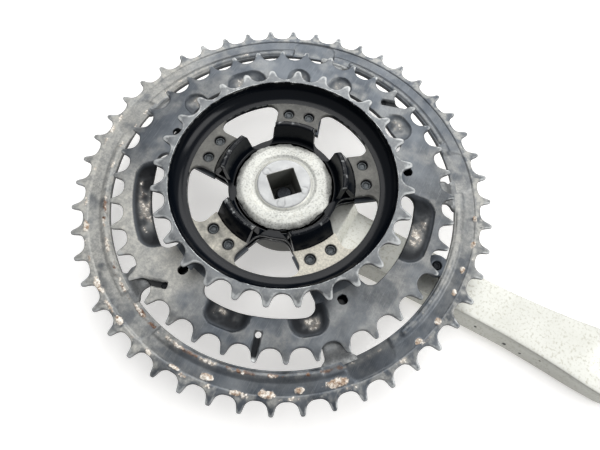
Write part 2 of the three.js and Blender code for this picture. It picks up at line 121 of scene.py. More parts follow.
def make_camera():
    """The camera stands off from the point it aims at, along its own direction."""
    camera = bpy.data.cameras.new("camera")
    camera.lens = CAMERA["lens"]
    camera.sensor_width = 36.0
    camera.clip_start = 0.01
    holder = bpy.data.objects.new("camera", camera)
    bpy.context.scene.collection.objects.link(holder)
    target = Vector(placed(*CAMERA["aim"]))
    holder.location = target + outwards(CAMERA["azimuth"], CAMERA["elevation"]) * CAMERA["distance"] * MM
    holder.rotation_euler = aimed(CAMERA["azimuth"], CAMERA["elevation"], CAMERA["roll"])
    bpy.context.scene.camera = holder


make_camera()


def make_floor():
    """A plain flat sheet, on which the part lies."""
    mesh = bpy.data.meshes.new("floor")
    reach = 6.0
    mesh.from_pydata([(-reach, -reach, 0), (reach, -reach, 0), (reach, reach, 0), (-reach, reach, 0)], [],
                     [(0, 1, 2, 3)])
    floor = bpy.data.objects.new("floor", mesh)
    bpy.context.scene.collection.objects.link(floor)
    floor.location.z = cad_box[0][2] - 0.0002
    mesh.materials.append(paper())


def softbox(name, azimuth, elevation, distance, size, power, colour="#ffffff"):
    """A square lamp that looks at the crank axis from a direction."""
    light = bpy.data.lights.new(name, "AREA")
    light.shape = "RECTANGLE"
    light.size, light.size_y = size
    light.energy = power
    light.color = linear(colour)[:3]
    lamp = bpy.data.objects.new(name, light)
    bpy.context.scene.collection.objects.link(lamp)
    target = Vector(placed(0, 0, 0))
    lamp.location = target + outwards(azimuth, elevation) * distance
    lamp.rotation_euler = aimed(azimuth, elevation)


def make_light():
    """A bright room: pale walls all round, a window behind the part, one at its side, and a ceiling lamp."""
    scene = bpy.context.scene
    scene.view_settings.view_transform = "Standard"
    world = bpy.data.worlds.new("room")
    scene.world = world
    world.use_nodes = True
    world.node_tree.nodes["Background"].inputs["Color"].default_value = linear("#f4f6fa")
    world.node_tree.nodes["Background"].inputs["Strength"].default_value = 0.45
    azimuth = CAMERA["azimuth"]
    softbox("window", azimuth + 170, 42, 1.6, (1.6, 0.9), 16)
    softbox("side_window", azimuth + 82, 34, 1.5, (0.9, 0.9), 11)
    softbox("ceiling", azimuth + 195, 70, 1.8, (0.9, 0.9), 8)


# --------------------------------------------------------------------------------------------------
# Materials
# --------------------------------------------------------------------------------------------------

OPERATIONS = ("MULTIPLY", "ADD", "MAXIMUM", "DISTANCE")
MULTIPLY, ADD, MAXIMUM, DISTANCE = ({"operation": name} for name in OPERATIONS)
COLOURS = {"data_type": "RGBA"}
SOFT_STEP = {"interpolation_type": "SMOOTHSTEP"}


def linear(hex_colour):
    """sRGB hex to a linear colour with full alpha."""
    channels = [int(hex_colour[i:i + 2], 16) / 255 for i in (1, 3, 5)]
    return tuple(c / 12.92 if c <= 0.04045 else ((c + 0.055) / 1.055) ** 2.4 for c in channels) + (1.0,)


def material(name):
    """A new material with its node tree and its shader."""
    new = bpy.data.materials.new(name)
    new.use_nodes = True
    return new, new.node_tree, new.node_tree.nodes["Principled BSDF"]


def fill(tree, holder, inputs):
    """Sets a node's inputs, each to a number, a tuple, a hex colour or a link from another node's output.

    An input goes by its name with _ for a space, or by _number where names repeat.
    """
    for key, value in inputs.items():
        socket = holder.inputs[int(key[1:])] if key[1:].isdigit() else holder.inputs[key.replace("_", " ")]
        if isinstance(value, bpy.types.NodeSocket):
            tree.links.new(value, socket)
        else:
            socket.default_value = linear(value) if isinstance(value, str) else value


def node(tree, kind, settings=None, out=0, **inputs):
    """Adds a node with its settings and links, and returns one of its outputs.

    The setting "stops" is a colour ramp's list of (position, hex colour).
    """
    settings = dict(settings or {})
    new = tree.nodes.new("ShaderNode" + kind)
    stops = settings.pop("stops", ())
    while stops and len(new.color_ramp.elements) < len(stops):
        new.color_ramp.elements.new(0.5)
    for k, (position, colour) in enumerate(stops):
        new.color_ramp.elements[k].position = position
        new.color_ramp.elements[k].color = linear(colour)
    for key, value in settings.items():
        setattr(new, key, value)
    fill(tree, new, inputs)
    return new.outputs[out]


def grain(tree, size_mm, detail=3.0, roughness=0.55, seed=0.0):
    """Cloudy noise whose blotches are about size_mm across, from the piece's Object coordinates."""
    place = node(tree, "TexCoord", out="Object")
    shifted = node(tree, "Mapping", Vector=place, Location=(seed, seed * 0.7, seed * 0.3))
    return node(tree, "TexNoise", out="Fac", Vector=shifted, Scale=1.0 / (size_mm * MM), Detail=detail,
                Roughness=roughness)


def scratches(tree, wide_mm, long_mm, degrees, seed=0.0):
    """Noise drawn out along one direction, for rubbed and brushed metal."""
    place = node(tree, "TexCoord", out="Object")
    drawn_out = node(tree, "Mapping", Vector=place, Rotation=(0.0, 0.0, math.radians(degrees)),
                     Location=(seed, seed, 0.0), Scale=(1.0, wide_mm / long_mm, 1.0))
    return node(tree, "TexNoise", out="Fac", Vector=drawn_out, Scale=1.0 / (wide_mm * MM), Detail=3.0,
                Roughness=0.6)


def paper():
    """White paper on a lit table: matt, with a little light of its own."""
    new, tree, shader = material("paper")
    fill(tree, shader, dict(Base_Color="#f2f1ef", Roughness=0.9, Emission_Color="#fdfbf8",
                            Emission_Strength=0.42))
    return new


def worn_plating():
    """Grey plated steel, handled for years: cloudy, scratched, bright where the chain has rubbed.

    The vertex attributes say where it is rubbed bright (wear), powdered with road dust (dust), caked with
    dried mud (crust) and rusted (rust), and where it is darkened (grime), which is mostly painted shade:
    under the plate, down its walls, along its edges and in its pockets and grooves.
    """
    new, tree, shader = material("worn_plating")
    wear, dust, crust, rust, grime = (node(tree, "Attribute", {"attribute_name": mark}, out="Fac")
                                      for mark in ("wear", "dust", "crust", "rust", "grime"))
    cloud = grain(tree, 17.0, detail=3.0)
    patch = grain(tree, 3.6, detail=5.0, roughness=0.62, seed=9.0)
    fleck = grain(tree, 1.1, detail=5.0, roughness=0.7, seed=3.0)
    broken = node(tree, "Math", MULTIPLY, _0=node(tree, "Math", ADD, _0=fleck, _1=patch), _1=0.5)
    lines = node(tree, "Math", MAXIMUM, _0=scratches(tree, 0.30, 9.0, 35.0),
                 _1=scratches(tree, 0.25, 7.0, -50.0, seed=2.0))

    plating = node(tree, "ValToRGB", {"stops": [(0.30, "#3d4248"), (0.50, "#51565c"), (0.70, "#686d72")]},
                   Fac=cloud)
    scored = node(tree, "MapRange", SOFT_STEP, Value=lines, From_Min=0.56, From_Max=0.78)
    scored = node(tree, "Math", MULTIPLY, _0=scored, _1=0.45)
    metal = node(tree, "Mix", COLOURS, out=2, _0=scored, _6=plating, _7="#85898b")

    mottle = node(tree, "MapRange", SOFT_STEP, Value=broken, From_Min=0.40, From_Max=0.62)
    mottle = node(tree, "MapRange", Value=mottle, To_Min=0.55, To_Max=1.05)
    haze = node(tree, "Math", MULTIPLY, _0=dust, _1=mottle)
    dusty = node(tree, "Mix", COLOURS, out=2, _0=haze, _6=metal, _7="#c2c0b8")

    rust_edge = node(tree, "MapRange", Value=patch, To_Min=-0.6, To_Max=0.6)
    rusted = node(tree, "MapRange", SOFT_STEP, Value=node(tree, "Math", ADD, _0=rust, _1=rust_edge),
                  From_Min=0.4, From_Max=0.9)
    rust_colour = node(tree, "ValToRGB", {"stops": [(0.3, "#33241c"), (0.5, "#6a4d3b"), (0.7, "#9d8470")]},
                       Fac=fleck)
    rusty = node(tree, "Mix", COLOURS, out=2, _0=rusted, _6=dusty, _7=rust_colour)

    wear_edge = node(tree, "MapRange", Value=patch, To_Min=-0.7, To_Max=0.7)
    bare = node(tree, "MapRange", SOFT_STEP, Value=node(tree, "Math", ADD, _0=wear, _1=wear_edge),
                From_Min=0.45, From_Max=1.0)
    rubbed = node(tree, "Mix", COLOURS, out=2, _0=bare, _6=rusty, _7="#b4b6b5")
    # Painted shade: near-black mixed in where the darkening mark is high.
    darkened = node(tree, "Mix", COLOURS, out=2, _0=grime, _6=rubbed, _7="#101215")

    near_mud = node(tree, "MapRange", SOFT_STEP, Value=crust, From_Min=0.02, From_Max=0.3)
    film_edge = node(tree, "MapRange", Value=patch, To_Min=-0.9, To_Max=0.9)
    film = node(tree, "MapRange", SOFT_STEP, Value=node(tree, "Math", ADD, _0=crust, _1=film_edge),
                From_Min=0.25, From_Max=0.9)
    film = node(tree, "Math", MULTIPLY, _0=near_mud, _1=film)
    thin_film = node(tree, "Math", MULTIPLY, _0=film, _1=0.55)
    filmed = node(tree, "Mix", COLOURS, out=2, _0=thin_film, _6=darkened, _7="#b7a999")

    pale = node(tree, "ValToRGB", {"stops": [(0.34, "#a39484"), (0.50, "#ddd5c8"), (0.62, "#f6f2ea")]},
                Fac=fleck)
    brown = node(tree, "ValToRGB", {"stops": [(0.34, "#5d4536"), (0.50, "#9b8069"), (0.64, "#cbb9a5")]},
                 Fac=fleck)
    pale_parts = node(tree, "MapRange", SOFT_STEP, Value=patch, From_Min=0.42, From_Max=0.56)
    dried_mud = node(tree, "Mix", COLOURS, out=2, _0=pale_parts, _6=brown, _7=pale)
    cake_edge = node(tree, "MapRange", Value=broken, To_Min=-1.4, To_Max=1.4)
    caked = node(tree, "MapRange", SOFT_STEP, Value=node(tree, "Math", ADD, _0=crust, _1=cake_edge),
                 From_Min=0.50, From_Max=0.72)
    colour = node(tree, "Mix", COLOURS, out=2, _0=caked, _6=filmed, _7=dried_mud)

    matt = node(tree, "Math", MAXIMUM, _0=node(tree, "Math", MULTIPLY, _0=haze, _1=0.7),
                _1=node(tree, "Math", MULTIPLY, _0=film, _1=0.6))
    matt = node(tree, "Math", MAXIMUM, _0=caked, _1=matt)
    metallic = node(tree, "Math", MULTIPLY, _0=node(tree, "MapRange", Value=matt, To_Min=0.70, To_Max=0.0),
                    _1=node(tree, "MapRange", Value=grime, To_Min=1.0, To_Max=0.15))
    roughness = node(tree, "Math", MAXIMUM, _0=node(tree, "MapRange", Value=cloud, To_Min=0.34, To_Max=0.54),
                     _1=node(tree, "MapRange", Value=matt, To_Min=0.3, To_Max=0.9))
    relief = node(tree, "Math", ADD, _0=fleck, _1=node(tree, "Math", MULTIPLY, _0=lines, _1=0.5))
    fill(tree, shader, dict(
        Base_Color=colour, Metallic=metallic, Roughness=roughness,
        Specular_IOR_Level=node(tree, "MapRange", Value=grime, To_Min=0.5, To_Max=0.12),
        Normal=node(tree, "Bump", Height=relief, Strength=1.0, Distance=0.05 * MM)))
    return new


def black_enamel():
    """Stove enamel on pressed steel: deep black and glossy, rubbed through to bare steel on its edges.

    The vertex attributes say where it is rubbed through (wear) and powdered with road dust (dust).
    """
    new, tree, shader = material("black_enamel")
    wear, dust = (node(tree, "Attribute", {"attribute_name": mark}, out="Fac") for mark in ("wear", "dust"))
    haze = grain(tree, 9.0, detail=4.0)
    patch = grain(tree, 3.0, detail=5.0, roughness=0.62, seed=6.0)
    fleck = grain(tree, 0.9, detail=4.0, seed=2.0)
    wear_edge = node(tree, "MapRange", Value=patch, To_Min=-0.6, To_Max=0.6)
    bare = node(tree, "MapRange", SOFT_STEP, Value=node(tree, "Math", ADD, _0=wear, _1=wear_edge),
                From_Min=0.45, From_Max=0.8)
    powder = node(tree, "Math", MULTIPLY, _0=dust,
                  _1=node(tree, "MapRange", Value=fleck, To_Min=0.55, To_Max=1.15))
    specks = node(tree, "MapRange", SOFT_STEP, Value=fleck, From_Min=0.70, From_Max=0.80)
    enamel = node(tree, "Mix", COLOURS, out=2, _0=specks, _6="#080c12", _7="#262b31")
    dust_colour = node(tree, "ValToRGB", {"stops": [(0.4, "#b0aea5"), (1.0, "#e6e0d0")]}, Fac=powder)
    dusty = node(tree, "Mix", COLOURS, out=2, _0=powder, _6=enamel, _7=dust_colour)
    roughness = node(tree, "Math", MAXIMUM, _0=node(tree, "MapRange", Value=haze, To_Min=0.12, To_Max=0.26),
                     _1=node(tree, "MapRange", Value=powder, To_Min=0.1, To_Max=0.8))
    fill(tree, shader, dict(
        Base_Color=node(tree, "Mix", COLOURS, out=2, _0=bare, _6=dusty, _7="#a9abaa"),
        Metallic=node(tree, "MapRange", Value=bare, To_Min=0.0, To_Max=0.9),
        Roughness=roughness, Specular_IOR_Level=0.18,
        Normal=node(tree, "Bump", Height=fleck, Strength=1.0, Distance=0.008 * MM)))
    return new


DINGS = (                            # x, y, z and radius of the dents on the arm's side, each painted dark as its shade
    (108.5, -11.5, -13.6, 1.0), (123.5, -12.1, -15.0, 1.4), (131.5, -12.5, -15.6, 0.9),
    (139.5, -12.4, -12.4, 0.8),
)


def cast_silver():
    """Aluminium cast in a steel mould and barrel-polished: pale, satin, finely pitted.

    The vertex attributes say where it is darkened (dust), which is mostly painted shade on the arm's side and
    edges, under the spider and in the hub's hollows, and where it is rough with pits (wear).
    """
    new, tree, shader = material("cast_silver")
    wear, dust = (node(tree, "Attribute", {"attribute_name": mark}, out="Fac") for mark in ("wear", "dust"))
    cloud = grain(tree, 14.0, detail=3.0)
    mottle = grain(tree, 1.2, detail=4.0, roughness=0.6, seed=8.0)
    pit = grain(tree, 0.8, detail=4.0, roughness=0.65, seed=4.0)
    skin = node(tree, "ValToRGB", {"stops": [(0.3, "#dcdcd3"), (0.7, "#e6e6de")]}, Fac=cloud)
    dull_parts = node(tree, "MapRange", SOFT_STEP, Value=mottle, From_Min=0.50, From_Max=0.70)
    mottled = node(tree, "Mix", COLOURS, out=2, _0=dull_parts, _6=skin, _7="#c6c4b6")
    worn_skin = node(tree, "Mix", COLOURS, out=2, _0=wear, _6=mottled, _7="#b4b5b1")

    deep = node(tree, "MapRange", SOFT_STEP, Value=pit, From_Min=0.50, From_Max=0.62)
    shallow = node(tree, "MapRange", SOFT_STEP, Value=pit, From_Min=0.68, From_Max=0.78)
    pits = node(tree, "Math", MAXIMUM, _0=node(tree, "Math", MULTIPLY, _0=shallow, _1=0.6),
                _1=node(tree, "Math", MULTIPLY, _0=wear, _1=deep))
    pitted = node(tree, "Mix", COLOURS, out=2, _0=pits, _6=worn_skin, _7="#696a66")

    place = node(tree, "TexCoord", out="Object")
    ragged = node(tree, "MapRange", Value=pit, To_Min=-0.6 * MM, To_Max=0.6 * MM)
    # Painted shade: the darkened places, and a dark spot over each dent in place of its shade; the dents are
    # not modelled.
    dark = dust
    for x, y, z, size in DINGS:
        away = node(tree, "VectorMath", DISTANCE, out="Value", _0=place, _1=tuple(placed(x, y, z)))
        dent = node(tree, "MapRange", SOFT_STEP, Value=node(tree, "Math", ADD, _0=away, _1=ragged),
                    From_Min=size * MM, From_Max=0.45 * size * MM)
        dark = node(tree, "Math", MAXIMUM, _0=dark, _1=dent)
    fill(tree, shader, dict(
        Base_Color=node(tree, "Mix", COLOURS, out=2, _0=dark, _6=pitted, _7="#30312f"), Metallic=0.35,
        Roughness=node(tree, "MapRange", Value=cloud, To_Min=0.40, To_Max=0.55),
        Normal=node(tree, "Bump", Height=node(tree, "Math", MAXIMUM, _0=pit, _1=mottle), Strength=1.0,
                    Distance=0.05 * MM)))
    return new


def machined_silver():
    """The same aluminium turned flat on a lathe: greyer, with a finer tooth."""
    new, tree, shader = material("machined_silver")
    dust = node(tree, "Attribute", {"attribute_name": "dust"}, out="Fac")
    pit = grain(tree, 0.6, detail=4.0, seed=5.0)
    skin = node(tree, "ValToRGB", {"stops": [(0.3, "#929393"), (0.7, "#a9aaa9")]}, Fac=grain(tree, 6.0))
    # Painted shade in the punch marks' rings, from the darkening mark.
    shaded_skin = node(tree, "Mix", COLOURS, out=2, _0=dust, _6=skin, _7="#30312f")
    pits = node(tree, "MapRange", SOFT_STEP, Value=pit, From_Min=0.66, From_Max=0.76)
    fill(tree, shader, dict(
        Base_Color=node(tree, "Mix", COLOURS, out=2, _0=pits, _6=shaded_skin, _7="#8f908c"), Metallic=0.6,
        Roughness=0.40, Normal=node(tree, "Bump", Height=pit, Strength=1.0, Distance=0.03 * MM)))
    return new


def zinc_rivet():
    """Zinc-plated steel, dulled to grey."""
    new, tree, shader = material("zinc_rivet")
    fleck = grain(tree, 0.8, detail=4.0)
    fill(tree, shader, dict(
        Base_Color=node(tree, "ValToRGB", {"stops": [(0.3, "#2c2f31"), (0.7, "#5b5f61")]}, Fac=fleck),
        Metallic=0.75, Roughness=0.5,
        Normal=node(tree, "Bump", Height=fleck, Strength=1.0, Distance=0.03 * MM)))
    return new


def black_oxide():
    """Oil-blackened bolt steel: dark with a low sheen."""
    new, tree, shader = material("black_oxide")
    fleck = grain(tree, 0.7, detail=4.0)
    fill(tree, shader, dict(
        Base_Color=node(tree, "ValToRGB", {"stops": [(0.3, "#15171a"), (0.7, "#33363a")]}, Fac=fleck),
        Metallic=0.85, Roughness=0.42,
        Normal=node(tree, "Bump", Height=fleck, Strength=1.0, Distance=0.02 * MM)))
    return new


def moulded_plastic():
    """Black moulded plastic with a fine spark-eroded grain."""
    new, tree, shader = material("moulded_plastic")
    fleck = grain(tree, 0.5, detail=3.0)
    fill(tree, shader, dict(
        Base_Color=node(tree, "ValToRGB", {"stops": [(0.3, "#17181a"), (0.7, "#222427")]}, Fac=fleck),
        Roughness=node(tree, "MapRange", Value=fleck, To_Min=0.45, To_Max=0.62),
        Normal=node(tree, "Bump", Height=fleck, Strength=1.0, Distance=0.02 * MM)))
    return new


FINISH = dict(plating=worn_plating(), enamel=black_enamel(), cast=cast_silver(), machined=machined_silver(),
              rivet=zinc_rivet(), oxide=black_oxide(), plastic=moulded_plastic())
SLOT = dict(plating="dark_steel", enamel="black_enamel", cast="cast_silver", machined="cast_silver",
            rivet="rivet_steel", oxide="bolt_steel", plastic="cap_plastic")

make_floor()
make_light()


# --------------------------------------------------------------------------------------------------
# Numbers on grids
# --------------------------------------------------------------------------------------------------

def smooth(low, high, value):
    """0 below low and 1 above high, with an S-curve between."""
    t = np.clip((value - low) / (high - low), 0.0, 1.0)
    return t * t * (3 - 2 * t)


def wrapped(degrees):
    """The same angle between -180 and 180."""
    return (degrees + 180.0) % 360.0 - 180.0


def near(spoke, angle, nothing, full):
    """1 within full degrees of an angle, 0 beyond nothing degrees of it, and an S-curve between."""
    return smooth(nothing, full, np.abs(wrapped(spoke - angle)))


def from_nearest(degrees, first):
    """Angle from the nearest of the five directions first, first + 72, and so on."""
    return (degrees - first + ARM_STEP / 2) % ARM_STEP - ARM_STEP / 2


def lattice_noise(x, y, size, seed):
    """Random heights between 0 and 1 on a square lattice, joined by S-curves."""
    table = np.random.default_rng(seed).random((128, 128))
    u, v = x / size, y / size
    i, j = np.floor(u).astype(int), np.floor(v).astype(int)
    su, sv = smooth(0, 1, u - i), smooth(0, 1, v - j)
    low = table[i % 128, j % 128] * (1 - su) + table[(i + 1) % 128, j % 128] * su
    high = table[i % 128, (j + 1) % 128] * (1 - su) + table[(i + 1) % 128, (j + 1) % 128] * su
    return low * (1 - sv) + high * sv


def lumps(x, y, size, seed=1):
    """Three layers of lattice noise, each half the size of the one before."""
    return (0.55 * lattice_noise(x, y, size, seed) + 0.3 * lattice_noise(x, y, size / 2.1, seed + 1)
            + 0.15 * lattice_noise(x, y, size / 4.3, seed + 2))


def arc_patch(radius, degrees, centre, half_length, inside, outside, corner):
    """Distance in mm past the edge of a patch bent round the axis, negative inside it.

    The patch is centred on an angle and runs half_length degrees each way, between two radii, and
    its corners are rounded.
    """
    middle = (inside + outside) / 2
    along = np.abs(wrapped(degrees - centre)) * math.pi / 180 * radius - half_length * math.pi / 180 * middle
    across = np.abs(radius - middle) - (outside - inside) / 2
    a, b = along + corner, across + corner
    return np.hypot(np.maximum(a, 0), np.maximum(b, 0)) + np.minimum(np.maximum(a, b), 0) - corner


def rounded(corners, radii, steps=4):
    """An open outline whose inner corners are curves that start and end a radius away from them."""
    corners = [np.array(c, float) for c in corners]
    path = [corners[0][None]]
    t = np.linspace(0, 1, steps + 1)[:, None]
    for before, corner, after, radius in zip(corners, corners[1:], corners[2:], radii):
        start = corner + (before - corner) * min(0.5, radius / np.linalg.norm(before - corner))
        end = corner + (after - corner) * min(0.5, radius / np.linalg.norm(after - corner))
        path.append((1 - t) ** 2 * start + 2 * t * (1 - t) * corner + t ** 2 * end)
    path.append(corners[-1][None])
    return np.concatenate(path)


# --------------------------------------------------------------------------------------------------
# Meshes
# --------------------------------------------------------------------------------------------------

def quads(rows, columns, closed_rows=False, closed_columns=False):
    """Corner numbers of the squares on a grid of points, rows by columns; closed directions wrap."""
    i = np.arange(rows if closed_rows else rows - 1)
    j = np.arange(columns if closed_columns else columns - 1)
    a, b = np.meshgrid(i, j, indexing="ij")
    c, d = (a + 1) % rows, (b + 1) % columns
    return np.stack([a * columns + b, c * columns + b, c * columns + d, a * columns + d], axis=-1)


def skins(outer, inner, closed=False, gone=None, **marks):
    """A closed plate between two grids of points, with a wall round every free edge.

    gone is a grid of booleans, one for each square, that leaves holes through both skins.
    marks are named grids of vertex values.
    """
    rows, columns = outer.shape[:2]
    cells = quads(rows, columns, closed)
    kept = np.ones(cells.shape[:2], bool) if gone is None else ~gone
    count = rows * columns
    faces = [cells[kept], cells[kept][:, ::-1] + count]
    around = np.pad(kept, 1)
    if closed:
        around[0, 1:-1], around[-1, 1:-1] = kept[-1], kept[0]
    sides = ((around[:-2, 1:-1], 0, 3), (around[2:, 1:-1], 2, 1),
             (around[1:-1, :-2], 1, 0), (around[1:-1, 2:], 3, 2))
    for neighbour, first, second in sides:
        edge = cells[kept & ~neighbour]
        a, b = edge[:, first], edge[:, second]
        faces.append(np.stack([a, b, b + count, a + count], axis=-1))
    points = np.concatenate([outer.reshape(-1, 3), inner.reshape(-1, 3)])
    values = {}
    for name, grid in marks.items():
        values[name] = np.concatenate([np.broadcast_to(grid, (rows, columns)).reshape(-1), np.zeros(count)])
    # Painted shade: the inner skin is marked fully dark, so every wall darkens from its top edge down to it.
    values["grime"] = np.maximum(values.get("grime", 0.0), np.repeat([0.0, 1.0], count))
    return dict(points=points, faces=np.concatenate(faces), marks=values)


def turned(profile, segments=48, at=(0.0, 0.0), closed=False, finish=0, **marks):
    """A profile of (radius, height) turned about an upright axis through a point."""
    profile = np.asarray(profile, float)
    angle = np.linspace(0, 2 * math.pi, segments, endpoint=False)[:, None]
    radius, height = profile.T
    points = placed(at[0] + radius * np.cos(angle), at[1] + radius * np.sin(angle), height)
    faces = quads(*points.shape[:2], True, closed).reshape(-1, 4)
    values = {name: np.tile(value, segments) for name, value in marks.items()}
    return dict(points=points.reshape(-1, 3), faces=faces, marks=values, finish=finish)


def merge_doubles(mesh):
    """Joins points within a thousandth of a millimetre, which closes poles and seams."""
    work = bmesh.new()
    work.from_mesh(mesh)
    bmesh.ops.remove_doubles(work, verts=work.verts, dist=0.001 * MM)
    work.to_mesh(mesh)
    work.free()


def outward(shell):
    """The same shell with its faces turned to point out, found from the sign of its volume."""
    a, b, c, d = (shell["points"][shell["faces"][:, k]] for k in range(4))
    volume = np.einsum("ij,ij->i", a, np.cross(b, c)).sum() + np.einsum("ij,ij->i", a, np.cross(c, d)).sum()
    return shell["faces"] if volume > 0 else shell["faces"][:, ::-1]


def piece(name, shells, finishes, cad_nodes, body="crankset", sharp=38.0):
    """One object from closed shells, which stands for its CAD nodes and rides on their body."""
    mesh = bpy.data.meshes.new(name)
    offsets = np.cumsum([0] + [len(s["points"]) for s in shells])
    faces = np.concatenate([outward(s) + start for s, start in zip(shells, offsets)])
    mesh.from_pydata(np.concatenate([s["points"] for s in shells]), [], faces.tolist())
    slots = np.concatenate([np.zeros(len(s["faces"])) + s.get("finish", 0) for s in shells])
    mesh.polygons.foreach_set("material_index", slots.astype(np.int32))
    for mark in sorted({key for s in shells for key in s["marks"]}):
        layer = mesh.attributes.new(mark, "FLOAT", "POINT")
        values = np.concatenate([s["marks"].get(mark, np.zeros(len(s["points"]))) for s in shells])
        layer.data.foreach_set("value", values.astype(np.float32))
    for finish in finishes:
        mesh.materials.append(FINISH[finish])
    merge_doubles(mesh)
    mesh.validate()
    mesh.shade_smooth()
    mesh.set_sharp_from_angle(angle=math.radians(sharp))
    made = bpy.data.objects.new(name, mesh)
    bpy.context.scene.collection.objects.link(made)
    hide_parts(*cad_nodes)
    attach(made, body)
    return made


# --------------------------------------------------------------------------------------------------
# Teeth
# --------------------------------------------------------------------------------------------------

def tooth_outline(ring):
    """Angles from the middle of a gap to the middle of a tooth, and the outline's radius there."""
    turn = np.radians(np.linspace(0, ring["reach"], 12))
    flank_x = ring["root"] + ring["bend"] * (1 - np.cos(turn))
    flank_y = ring["level"] + ring["bend"] * np.sin(turn)
    half_pitch = 180.0 / ring["teeth"]
    tip_edge = half_pitch - math.degrees(ring["tip_half"] / ring["tip"])
    degrees = np.concatenate([[0.0], np.degrees(np.arctan2(flank_y, flank_x)), [tip_edge, half_pitch]])
    radius = np.concatenate([[ring["root"]], np.hypot(flank_x, flank_y), [ring["tip"] - 0.3, ring["tip"]]])
    return degrees, radius


def tooth_angles(ring, gap=10, flank=5, tip=4):
    """Angles of the grid's spokes: evenly over a gap, closer on the flanks, and over the tip."""
    stops = ((-0.29, 0.29, gap), (0.29, 0.44, flank), (0.44, 0.56, tip), (0.56, 0.71, flank))
    one = np.concatenate([np.linspace(a, b, n, endpoint=False) for a, b, n in stops])
    step = 360.0 / ring["teeth"]
    return (ring["tooth"] + (np.arange(ring["teeth"])[:, None] + 0.5 + one) * step).reshape(-1)


def tooth_radius(ring, degrees):
    """Radius of the toothed outline at each angle, its corners eased over half a millimetre."""
    outline = tooth_outline(ring)
    step = 360.0 / ring["teeth"]
    blur = np.linspace(-0.25, 0.25, 5)[:, None] / ring["tip"] * 180 / math.pi
    from_gap = np.abs((degrees[None] + blur - ring["tooth"]) % step - step / 2)
    return np.interp(from_gap, *outline).mean(axis=0)


def edge_distance(ring, degrees, radius):
    """Distance in mm from each grid point of the toothed zone to the outline, for every tooth alike."""
    per_tooth = len(degrees) // ring["teeth"]
    step = 360.0 / ring["teeth"]
    line = np.radians(np.linspace(-1.0, 2.0, 220) * step)
    line_radius = tooth_radius(ring, ring["tooth"] + step / 2 + np.degrees(line))
    angle = np.radians(degrees[:per_tooth] - ring["tooth"] - step / 2)[:, None]
    x, y = radius[:per_tooth] * np.cos(angle), radius[:per_tooth] * np.sin(angle)
    gap_x = x[..., None] - line_radius * np.cos(line)
    gap_y = y[..., None] - line_radius * np.sin(line)
    return np.tile(np.hypot(gap_x, gap_y).min(axis=-1), (ring["teeth"], 1))


def ring_grid(ring, inner_edge, fixed, teeth_steps=8):
    """Spokes and radii of a toothed ring's grid.

    Radii run from the inner edge, which may vary, over the fixed circles, and then spread out
    between the last circle and the toothed outline. Returns degrees, radius and distance to the edge.
    """
    degrees = tooth_angles(ring)
    inner = np.broadcast_to(inner_edge(degrees), degrees.shape)
    start = inner[:, None] + (fixed[0] - inner[:, None]) * np.array([0.0, 0.05, 0.15, 0.4, 0.7])
    middle = np.broadcast_to(fixed, (len(degrees), len(fixed)))
    spread = 1 - (1 - np.linspace(0, 1, teeth_steps + 1)[1:]) ** 1.6
    rim = tooth_radius(ring, degrees)
    end = fixed[-1] + (rim[:, None] - fixed[-1]) * spread
    radius = np.concatenate([start, middle, end], axis=1)
    return degrees, radius, edge_distance(ring, degrees, radius)


def rolled(distance, width, drop):
    """How far a skin sinks towards its edge: a quarter round of that width and drop."""
    t = np.clip(1 - distance / width, 0, 1)
    return drop * (1 - np.sqrt(np.clip(1 - t * t, 0, 1)))


def tooth_taper(ring, radius):
    """Teeth are thinner at the tip."""
    return 0.5 * smooth(ring["root"] + 0.8, ring["tip"], radius)


def polar_points(radius, degrees, height):
    """Points at a radius and an angle about the crank axis."""
    angle = np.radians(degrees)
    return placed(radius * np.cos(angle), radius * np.sin(angle), height)


def punched(radius, degrees, holes):
    """Opens round holes in a polar grid.

    Squares whose centre is in a hole are left out, and the points round them move onto its circle.
    Returns the new radius and degrees, and the grid of squares that are gone.
    """
    x, y = radius * np.cos(np.radians(degrees)), radius * np.sin(np.radians(degrees))
    rows, columns = x.shape
    centre_x = (x + np.roll(x, -1, 0))[:, :-1] / 4 + (x + np.roll(x, -1, 0))[:, 1:] / 4
    centre_y = (y + np.roll(y, -1, 0))[:, :-1] / 4 + (y + np.roll(y, -1, 0))[:, 1:] / 4
    gone = np.zeros((rows, columns - 1), bool)
    for hole_radius, hole_angle, size in holes:
        hx = hole_radius * math.cos(math.radians(hole_angle))
        hy = hole_radius * math.sin(math.radians(hole_angle))
        inside = np.hypot(centre_x - hx, centre_y - hy) < size
        touched = np.zeros((rows, columns), bool)
        for shift in (0, 1):
            touched[:, :-1] |= np.roll(inside, shift, 0)
            touched[:, 1:] |= np.roll(inside, shift, 0)
        away = np.hypot(x - hx, y - hy) + 1e-9
        x = np.where(touched, hx + (x - hx) / away * size, x)
        y = np.where(touched, hy + (y - hy) / away * size, y)
        gone |= inside
    return np.hypot(x, y), np.degrees(np.arctan2(y, x)), gone


# --------------------------------------------------------------------------------------------------
# Outer ring
# --------------------------------------------------------------------------------------------------

